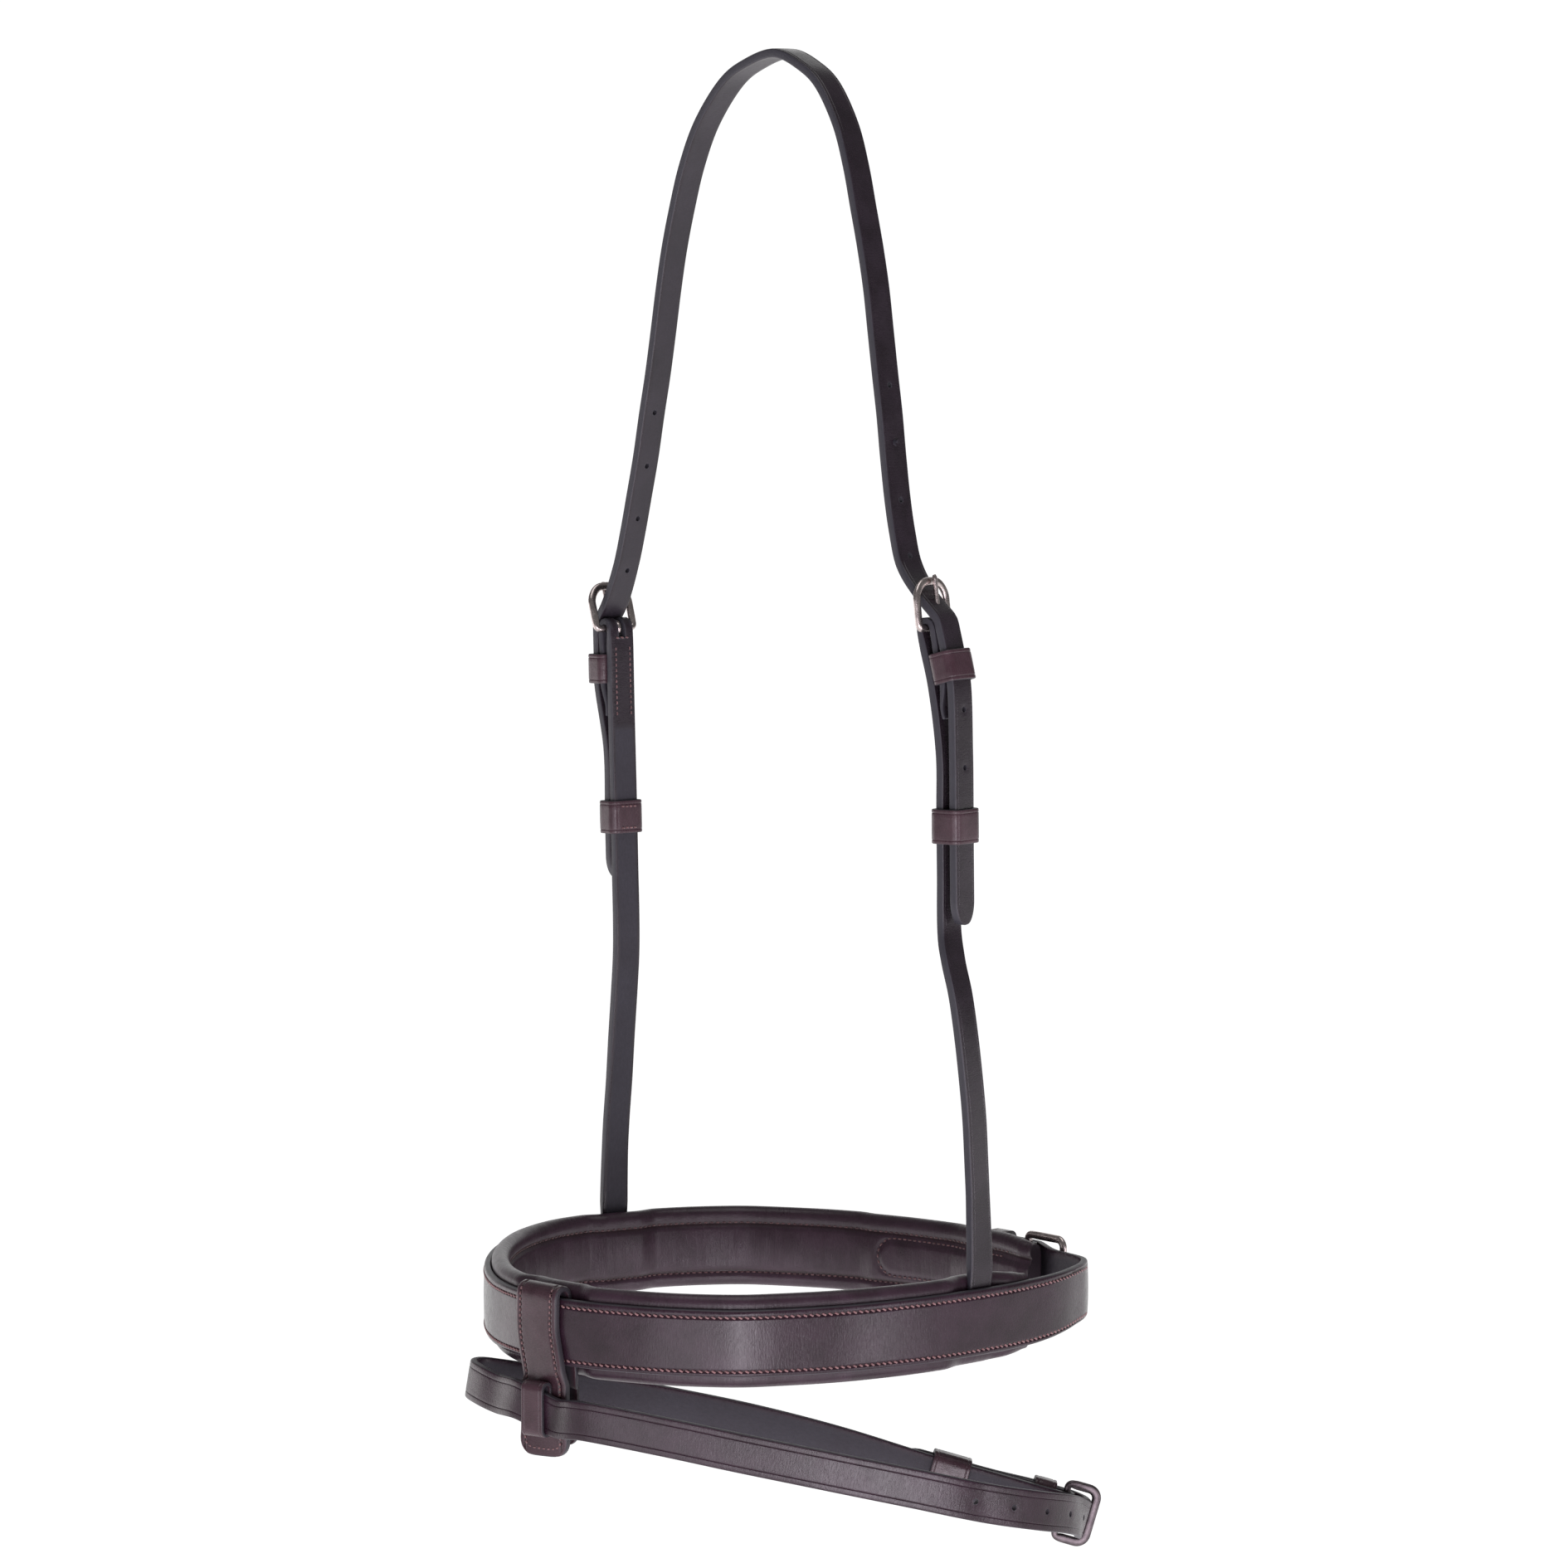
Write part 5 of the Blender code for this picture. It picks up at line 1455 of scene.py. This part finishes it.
def make_headstrap():
    """The sliphead, its billets punched and pointed."""
    ribbon = Ribbon(headstrap_controls(), flip=True)
    point_ends(ribbon, cheek_width, point_length, point_length)
    holes = []
    for buckle, way, shift in ((near_buckle, 1, near_hole_shift), (off_buckle, -1, 0.0)):
        start = ribbon.nearest(buckle.place(*buckle.tongue_crossing())) + way * shift
        holes += [start + way * k * hole_pitch
                  for k in range(-holes_below_tongue, holes_above_tongue + 1) if k]
    half = cheek_width / 2 - crease_inset
    dress = Dress(creases=(-half, half), holes=holes,
                  flesh=lambda run, face: 0.35 if face == -1 else 0.0)
    piece = draw_strap("headstrap_dressed", ribbon, dress, looks["strap"], "bridle", ["headstrap"])
    punch(piece, ribbon, holes)


def point_ends(ribbon, width, start_length, end_length):
    """Shape a strap's ends to rounded points."""
    for i, run in enumerate(ribbon.runs):
        row = ribbon.rows[i]
        for left, length in ((run, start_length), (ribbon.length - run, end_length)):
            if length and left < length:
                share = max(0.0, left / length)
                taper = width * math.sqrt(max(0.0, 1 - (1 - share) ** 2.2)) * 0.97 + width * 0.03
                row = (*row[:4], min(row[4], taper), row[5])
        ribbon.rows[i] = row


def make_keeper(name, body, matrix, half_side, low_out, high_out, height, up, sewn=False,
                wall=keeper_wall):
    """A keeper: a leather band bent into a ring, creased near both edges."""
    corner = keeper_corner * 2
    line = rounded_rectangle(half_side + wall / 2, low_out - wall / 2, high_out + wall / 2,
                             corner, corner, steps=8)
    way = matrix.to_3x3() @ Vector((0, 0, 1))
    controls = [Station(matrix @ Vector((out, side, up)), way, height, wall) for side, out in line]
    ribbon = Ribbon(controls, closed=True)
    middle = matrix @ Vector(((low_out + high_out) / 2, 0, up))
    centre, _, _, out, _, _ = ribbon.at(0.0)
    if out.dot(centre - middle) < 0:
        ribbon = Ribbon(controls, flip=True, closed=True)
    inset = height / 2 - crease_inset
    dress = Dress(creases=(-inset, inset), crown=flat_crown)
    draw_strap(name + "_dressed", ribbon, dress, looks["keeper"], body, [name],
               keeper_edge_radius, keeper_inner_radius)
    if sewn:
        middle = ribbon.nearest(matrix @ Vector((low_out - wall, 0, up)))
        reach = half_side * 0.62
        for across in (seam_inset - height / 2, height / 2 - seam_inset):
            stitch_row(body, ribbon, across, middle - reach, middle + reach)


def make_cheek(prefix, buckle, bar_across, shares, foot_at, rest_gap):
    """One side's hanger, with its buckle and its two keepers."""
    ribbon = Ribbon(hanger_controls(buckle, bar_across, shares, foot_at), flip=True)
    top = ribbon.nearest(buckle.place(-buckle.leaf_offset, 0))

    def flesh(run, face):
        if run < top:
            bare = top - fold_length - flesh_gap
            return ease((bare - run) / flesh_fade) if face == -1 else 0.0
        return 0.0 if face == -1 else 0.9

    inset = cheek_width / 2 - crease_inset
    dress = Dress(creases=(-inset, inset), flesh=flesh, crown=flat_crown)
    piece = draw_strap(prefix + "_hanger_dressed", ribbon, dress, looks["strap"], "bridle",
                       [prefix + "_cheek_hanger"])
    row = cheek_width / 2 - seam_inset
    for across in (-row, row):
        stitch_row("bridle", ribbon, across, top - fold_length, top - fold_seam_drop, -1,
                   radius=thread_radius * 0.8)
    fold_end = top + math.pi * buckle.leaf_offset
    for run in (top - cross_seam_drop, fold_end + cross_seam_drop):
        cross_stitches("bridle", ribbon, run, row)
    cut_slot(piece, buckle)
    half = cheek_width / 2 + keeper_room
    make_keeper(prefix + "_fixed_keeper", "bridle", buckle.matrix, half,
                fixed_keeper_low + keeper_wall, billet_high + cheek_thickness / 2 + keeper_room,
                keeper_height, -fixed_keeper_drop)
    make_keeper(prefix + "_runner_keeper", prefix + "_runner", buckle.low_matrix, half,
                -buckle.leaf_offset - cheek_thickness / 2 - gap,
                billet_low(rest_gap) + cheek_thickness / 2 + gap, runner_keeper_height,
                buckle.knee - runner_keeper_drop, sewn=True)
    make_buckle(prefix, buckle)


def make_buckle(prefix, buckle, arm=(arm_width, arm_thickness), squareness=0.8, look="steel"):
    """A frame of rounded section, and a tongue that curls over its far bar."""
    path = frame_points(buckle)
    points = [buckle.place(*buckle.leaned(0.0, up), side) for side, up in path]
    out, lifted = buckle.leaned(1.0, 0.0)
    normal = (buckle.matrix.to_3x3() @ Vector((out, 0, lifted))).normalized()
    stations = [Station(p, normal, 1, 1) for p in points]
    bm = bmesh.new()
    rows = []
    bar = buckle.bar_radius * 2
    for (side, up), station, along in zip(path, stations, tangents(stations, True)):
        outward = along.cross(normal).normalized()
        wide, thick = (bar + (size - bar) * ease(up / (buckle.reach * 0.3)) for size in arm)
        row = []
        for c, s in circle(16):
            a = math.copysign(abs(c) ** squareness, c) * wide / 2
            b = math.copysign(abs(s) ** squareness, s) * thick / 2
            row.append(bm.verts.new(station.centre + outward * a + normal * b))
        rows.append(row)
    skin(bm, rows, closed=True)
    add_piece(prefix + "_frame_dressed", bm, looks[look], prefix + "_frame",
              [prefix + "_buckle_frame"])
    make_tongue(prefix, buckle)


def frame_points(buckle):
    """The frame's middle line at close steps."""
    half = buckle.strap_width / 2 + frame_side_play + buckle.bar_radius
    low = buckle.bar_radius * 1.2
    line = rounded_rectangle(half, 0.0, buckle.reach, low, buckle.corner, steps=10)
    controls = [Station(Vector((side, up, 0)), (0, 0, 1), 1, 1) for side, up in line]
    made = []
    top = buckle.reach - buckle.corner
    for station in closed_line(controls, frame_step):
        side, up = station.centre.x, station.centre.y
        share = max(0.0, (up - top) / buckle.corner)
        up += buckle.dome * share * max(0.0, 1 - (side / half) ** 2)
        made.append((side, up))
    return made


def make_tongue(prefix, buckle):
    """A hook round the bar, a straight shank, and a tip that curls over the far bar."""
    q = buckle.shank_offset
    reach = buckle.reach + buckle.dome
    line = [Vector(p) for p in arc(0, 0, q, math.radians(-255), 0, 24)]
    for share in (0.12, 0.25, 0.4, 0.55, 0.7, 0.82, 0.9, 0.96, 1.02, 1.07):
        line.append(Vector((q, reach * share)))
    curl = buckle.bar_radius * 0.9
    line.append(Vector((q - curl * 0.25, reach * 1.105)))
    line.append(Vector((q - curl * 0.7, reach * 1.12)))
    points = [buckle.place(*buckle.leaned(*pair)) for pair in line]
    smooth, _ = smooth_points(points, tongue_step)
    stations = [Station(p, buckle.side(), 1, 1) for p in smooth]
    bm = bmesh.new()
    rows = []
    count = len(smooth)
    for i, (station, along) in enumerate(zip(stations, tangents(stations))):
        side = (station.across - along * station.across.dot(along)).normalized()
        up = along.cross(side)
        share = i / (count - 1)
        wide = 1.18 - 0.28 * ease((share - 0.45) / 0.4)
        from_end = min(i, count - 1 - i) * tongue_step
        size = tongue_radius * min(1.0, math.sqrt(from_end / tongue_end) + 0.12)
        rows.append([bm.verts.new(station.centre + side * c * size * wide + up * s * size * 0.95)
                     for c, s in circle(12)])
    skin(bm, rows)
    add_piece(prefix + "_tongue_dressed", bm, looks["steel"], prefix + "_tongue",
              [prefix + "_buckle_tongue"])


def make_band():
    """The noseband's outer strap, with its two stitched grooves."""
    ribbon = Ribbon(band_controls())
    point_ends(ribbon, chin_width, point_length, point_length)
    fold = ribbon.nearest(chin_buckle.place(0.0, chin_buckle.leaf_offset))
    start = fold + chin_keeper_end
    total = ribbon.length
    end = total - chin_point_length - chin_reach - chin_plain_length
    crossing = total - chin_point_length - chin_reach / 2
    holes = [crossing + k * chin_hole_pitch
             for k in range(-chin_holes_before, chin_holes_beyond + 1)
             if k and crossing + k * chin_hole_pitch < total - point_length]
    grooves = [(band_row_high, start, end), (band_row_low, start, end)]

    def flesh(run, face):
        if run < fold:
            return 0.0 if face == -1 else 0.9
        return 0.8 if face == -1 else 0.0

    dress = Dress(grooves=grooves, holes=holes, flesh=flesh, crown=band_crown)
    piece = draw_strap("noseband_strap_dressed", ribbon, dress, looks["band"], "bridle",
                       ["noseband_strap"], band_edge_radius)
    punch(piece, ribbon, holes)
    for across in (band_row_high, band_row_low):
        stitch_row("bridle", ribbon, lambda run: across * ribbon.at(run)[4] / band_width,
                   start + band_seam_margin, end - band_seam_margin, 1, stitch_pitch,
                   -stitch_slant, -groove_depth * 0.55, shade=0.75)
    cut_slot(piece, chin_buckle)


def lining_front(length):
    """Where the lining's front lies, behind the noseband strap's middle line."""
    return -(band_thickness / 2 + gap + room_behind(length))


def lining_shape():
    """Pairs round the lining's section: how far behind its front, and how high."""
    radius = lining_depth / 2
    high = lining_height / 2 - radius
    front_high = lining_height / 2 - lining_lip
    steps = 34
    return ([(0.0, front_high * (k - 2) / 2) for k in range(5)]
            + arc(radius, high, radius, math.pi, 0, 12)
            + [(lining_depth, high * (1 - 2 * k / steps)) for k in range(1, steps)]
            + arc(radius, -high, radius, 0, -math.pi, 12))


def make_lining():
    """The lining, rolled round its padding and drawn in along two rows of stitches."""
    bm = bmesh.new()
    tone = tone_attribute(bm)
    count = round((lining_end - lining_start) / lining_step)
    places = [lining_start + (lining_end - lining_start) * i / count for i in range(count + 1)]
    radius = lining_depth / 2
    shape = lining_shape()
    rows = []
    for length in places:
        front = lining_front(length)
        left = min(lining_end - length, length - lining_start)
        taper = ease(left / lining_taper)
        deep = taper_depth_share + (1 - taper_depth_share) * taper
        tall = taper_height_share + (1 - taper_height_share) * taper
        tall *= 1 - 0.10 * ease(1 - left / lining_end_length)
        tall *= 1 - lining_swing * loop.raw(loop.start + length).y / loop_half_width
        row = []
        for behind, up in shape:
            extra = 0.0
            if behind > radius:
                extra = lining_relief(length, up) * ease((behind - radius) / radius)
            vert = bm.verts.new(loop.point(length, front - behind * deep - extra, up * tall))
            worn = 1.0 - ease(left / lining_edge) if behind > 0 else 0.0
            # The sewn rows on the lining's back are marked so the leather darkens them with painted
            # shade, where the rows pull in.
            sewn = max(bump((up - place) / lining_edge) for place in (band_row_high, band_row_low))
            vert[tone] = (worn, 0.0, sewn if behind > radius else 0.0, 1.0)
            row.append(vert)
        rows.append(row)
    girth = [0.0]
    for a, b in zip(shape, shape[1:]):
        girth.append(girth[-1] + math.hypot(b[0] - a[0], b[1] - a[1]))
    girth.append(girth[-1] + lining_lip / 2)
    skin(bm, rows, places=places, girths=[girth] * len(rows))
    piece = add_piece("noseband_lining_dressed", bm, looks["lining"], "bridle",
                      ["noseband_lining", "noseband_padding"], 60)
    lengths = seam_runs(lining_start + lining_seam_margin, lining_end - lining_seam_margin)
    for row in (band_row_high, band_row_low):
        sew_lining([(length, row) for length in lengths], 0.1)
    half = turnback_half
    centre = chin_turnback - half
    straight = [turnback_seam_start + (centre - turnback_seam_start) * k / 29 for k in range(30)]
    rounded = arc(centre, 0, half, math.pi / 2, -math.pi / 2, 16)[1:-1]
    sew_lining([(length, half) for length in straight] + rounded
               + [(length, -half) for length in reversed(straight)], 0.2)


def sew_lining(line, shade):
    """Stitches on the lining's back, along pairs of a length and a height."""
    points, ways = [], []
    for length, up in line:
        behind = lining_front(length) - lining_depth - lining_relief(length, up)
        points.append(loop.point(length, behind, up))
        ways.append(-(loop_matrix.to_3x3() @ loop.out(length)))
    stitch_line("bridle", points, ways, stitch_pitch, thread_radius * 0.9, shade)


def lining_relief(length, up):
    """How far the lining's back stands out: rolls, the sewn rows, folds and the turned-back end."""
    crown = row_swell * (1 - min(1.0, (up / band_row_high) ** 2))
    for row in (band_row_high, band_row_low):
        crown -= row_pull * math.exp(-((up - row) / row_half) ** 2)
    fold = noise.noise(Vector((length * 300, up * 22, 1.7))) * fine_fold
    fold += noise.noise(Vector((length * 110, up * 16, 8.1))) * broad_fold
    strength = 0.25 + 0.75 * ease((noise.noise(Vector((length * 9, 4.0, 2.0))) + 0.35) / 0.5)
    fold *= strength * math.exp(-(up / fold_half) ** 4)
    beyond = math.hypot(max(0.0, length - (chin_turnback - turnback_half)), up)
    edge = beyond - turnback_half
    sewn = row_swell * (ease(-edge / turnback_rise) - math.exp(-(edge / row_half) ** 2))
    return crown + fold + sewn * ease((chin_turnback + turnback_fade - length) / turnback_fade)


def make_tab():
    """The tab over the nose, sewn round its edge."""
    ribbon = Ribbon(tab_controls())
    shape_tab_ends(ribbon)
    inset = tab_width / 2 - tab_seam_inset
    dress = Dress(grooves=[(across, 0, ribbon.length) for across in (inset, -inset)],
                  crown=tab_crown)
    draw_strap("flash_tab_dressed", ribbon, dress, looks["keeper"], "bridle", ["flash_tab"],
               tab_edge_radius)
    top = ribbon.nearest(loop.point(tab_at, tab_front, band_width / 2)) - tab_seam_start
    foot = ribbon.length - tab_seam_turn
    line = [(run, inset) for run in seam_runs(top, ribbon.length - tab_seam_end)]
    for c, s in arc(0, 0, 1, math.pi / 2, -math.pi / 2, 20)[1:-1]:
        line.append((foot + tab_seam_reach * c ** 0.5, inset * math.copysign(abs(s) ** 0.5, s)))
    line += [(run, -inset) for run in seam_runs(foot, top)]
    points, ways = zip(*(ribbon.on_face(*pair, 1, -groove_depth * 0.4) for pair in line))
    stitch_line("bridle", points, ways, fine_pitch, thread_radius, 0.4)


def shape_tab_ends(ribbon):
    """Round the tab's corners."""
    for i, run in enumerate(ribbon.runs):
        share = max(0.0, 1 - min(run, ribbon.length - run) / tab_corner)
        width = tab_width - 2 * tab_corner * (1 - math.sqrt(max(0.0, 1 - share ** 2)))
        row = ribbon.rows[i]
        ribbon.rows[i] = (*row[:4], width, row[5])


def make_flash():
    """The flash strap, with its buckle and its two keepers."""
    ribbon = Ribbon(flash_controls())
    point_ends(ribbon, flash_width, 0.0, point_length)
    total = ribbon.length
    crossing = total - flash_billet_length - flash_turn_radius
    holes = [crossing + k * flash_hole_pitch for k in range(-flash_holes, flash_holes_below + 1) if k]
    fold = ribbon.nearest(flash_buckle.place(flash_buckle.leaf_offset, 0))

    def flesh(run, face):
        if run < fold:
            return 0.9 if face == 1 else 0.0
        return 0.9 if face == -1 else 0.0

    inset = flash_width / 2 - flash_crease_inset
    dress = Dress(creases=(-inset, inset), holes=holes, flesh=flesh, crown=flash_crown)
    piece = draw_strap("flash_strap_dressed", ribbon, dress, looks["band"], "flash",
                       ["flash_strap"])
    punch(piece, ribbon, holes)
    cut_slot(piece, flash_buckle)
    leaf = max(flash_seam_start, fold - flash_fold_length)
    for across in (-inset, inset):
        stitch_row("flash", ribbon, across, leaf, fold - flash_seam_drop, -1)
    half = flash_width / 2 + gap
    make_keeper("flash_fixed_keeper", "flash", flash_buckle.matrix, half,
                flash_face + gap + keeper_wall, flash_billet_high + flash_thickness / 2 + gap,
                flash_keeper_height, -flash_keeper_drop)
    make_keeper("flash_runner_keeper", "flash_runner", flash_buckle.matrix, half,
                flash_main - flash_thickness / 2 - gap,
                flash_billet_low + flash_thickness / 2 + gap, flash_runner_height,
                -flash_runner_drop)
    # The flash buckle takes the darker steel copy, painted shade for the dim surroundings it mirrors.
    make_buckle("flash", flash_buckle, (flash_arm_width, flash_arm_thickness), 0.7, "shaded steel")


def make_tab_keeper():
    """The loop on the tab, round the flash strap."""
    high = flash_out + flash_thickness / 2 + keeper_room - tab_face
    make_keeper("flash_tab_keeper", "bridle", tab_frame(tab_face, -tab_keeper_drop),
                tab_keeper_half, gap + tab_keeper_wall, high, tab_keeper_height, 0.0,
                wall=tab_keeper_wall)


# The room: floor, light and camera
backdrop_way = (-0.766, 0.643, 0.0)
backdrop_level = 1.06
room_level = 0.18
floor_size = 40.0
floor_height = -2.2
floor_glow = 0.84
lilac = (1.0, 0.93, 1.02)
camera_azimuth = math.radians(50)
camera_pitch = math.radians(5.35)
camera_place = (2.078, -1.7435, -0.066)
camera_lens = 141.0


def make_room():
    """A white backdrop behind the bridle, a dimmer room before it, and a pale floor below."""
    world = bpy.data.worlds.new("studio")
    world.use_nodes = True
    back = world.node_tree.nodes["Background"]
    n = Nodes(world.node_tree)
    way = n.add("ShaderNodeTexCoord").outputs["Generated"]
    facing = n.add("ShaderNodeVectorMath", {0: way, 1: backdrop_way}, operation="DOT_PRODUCT")
    n.put(back.inputs["Strength"], n.span(facing.outputs["Value"], 0.62, 0.90, room_level,
                                          backdrop_level))
    back.inputs["Color"].default_value = (1.0, 1.0, 1.0, 1.0)
    bpy.context.scene.world = world
    bpy.context.scene.view_settings.view_transform = "Standard"
    bm = bmesh.new()
    bmesh.ops.create_grid(bm, x_segments=2, y_segments=2, size=floor_size)
    floor = add_object("floor", mesh_from("floor", bm))
    floor.location = (0, 0, floor_height)
    floor.data.materials.append(floor_look())


def area_light(name, azimuth, distance, wide, tall, glow, rise=-11.0, tint=lilac):
    """A soft box that faces the noseband, placed by its angles round it."""
    turn = math.radians(azimuth)
    lift = math.radians(rise)
    target = Vector((0, 0, -band_drop))
    way = Vector((math.sin(turn) * math.cos(lift), -math.cos(turn) * math.cos(lift),
                  math.sin(lift)))
    light = bpy.data.lights.new(name, "AREA")
    light.shape = "RECTANGLE"
    light.size = wide
    light.size_y = tall
    light.energy = glow * math.pi * wide * tall
    light.color = tint
    lamp = add_object(name, light)
    lamp.location = target + way * distance
    lamp.rotation_mode = "QUATERNION"
    lamp.rotation_quaternion = (-way).to_track_quat("-Z", "Y")
    lamp.visible_camera = False


def make_camera():
    """A long lens at the photo's place."""
    camera = bpy.data.cameras.new("camera")
    camera.lens = camera_lens
    camera.sensor_width = 36.0
    camera.clip_end = 50.0
    made = add_object("camera", camera)
    made.location = camera_place
    made.rotation_euler = (math.pi / 2 - camera_pitch, 0.0, camera_azimuth)
    bpy.context.scene.camera = made


random.seed(7)
for thing in list(bpy.data.objects):
    bpy.data.objects.remove(thing)
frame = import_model()
threads = {}
make_headstrap()
make_cheek("near", near_buckle, near_bar_across, near_hanger_share, near_foot_at, near_billet_gap)
make_cheek("off", off_buckle, -off_bar_across, off_hanger_share, off_foot_at, off_billet_gap)
make_band()
make_lining()
make_buckle("chin", chin_buckle)
make_keeper("chin_keeper", "bridle", loop.frame(chin_keeper_drop, 0.0, chin_rise, reverse=True),
            chin_width / 2 + gap, -(band_thickness / 2 + gap), band_thickness * 1.5 + gap * 3,
            chin_keeper_height, 0.0)
make_tab()
make_tab_keeper()
make_flash()
for body, thread in threads.items():
    add_piece(body + "_thread", thread.bm, looks["thread"], body)
make_room()
area_light("key", 57, 3.3, 1.25, 1.6, 7.5)
area_light("fill", 25, 3.3, 1.8, 1.6, 1.9)
area_light("right", 103, 2.4, 0.24, 1.4, 8.5)
area_light("left", -64, 2.4, 1.8, 1.4, 1.15, tint=(1.0, 0.94, 0.95))
area_light("top", 50, 2.2, 1.6, 1.6, 1.7, rise=78.0, tint=(1.0, 1.0, 1.0))
make_camera()
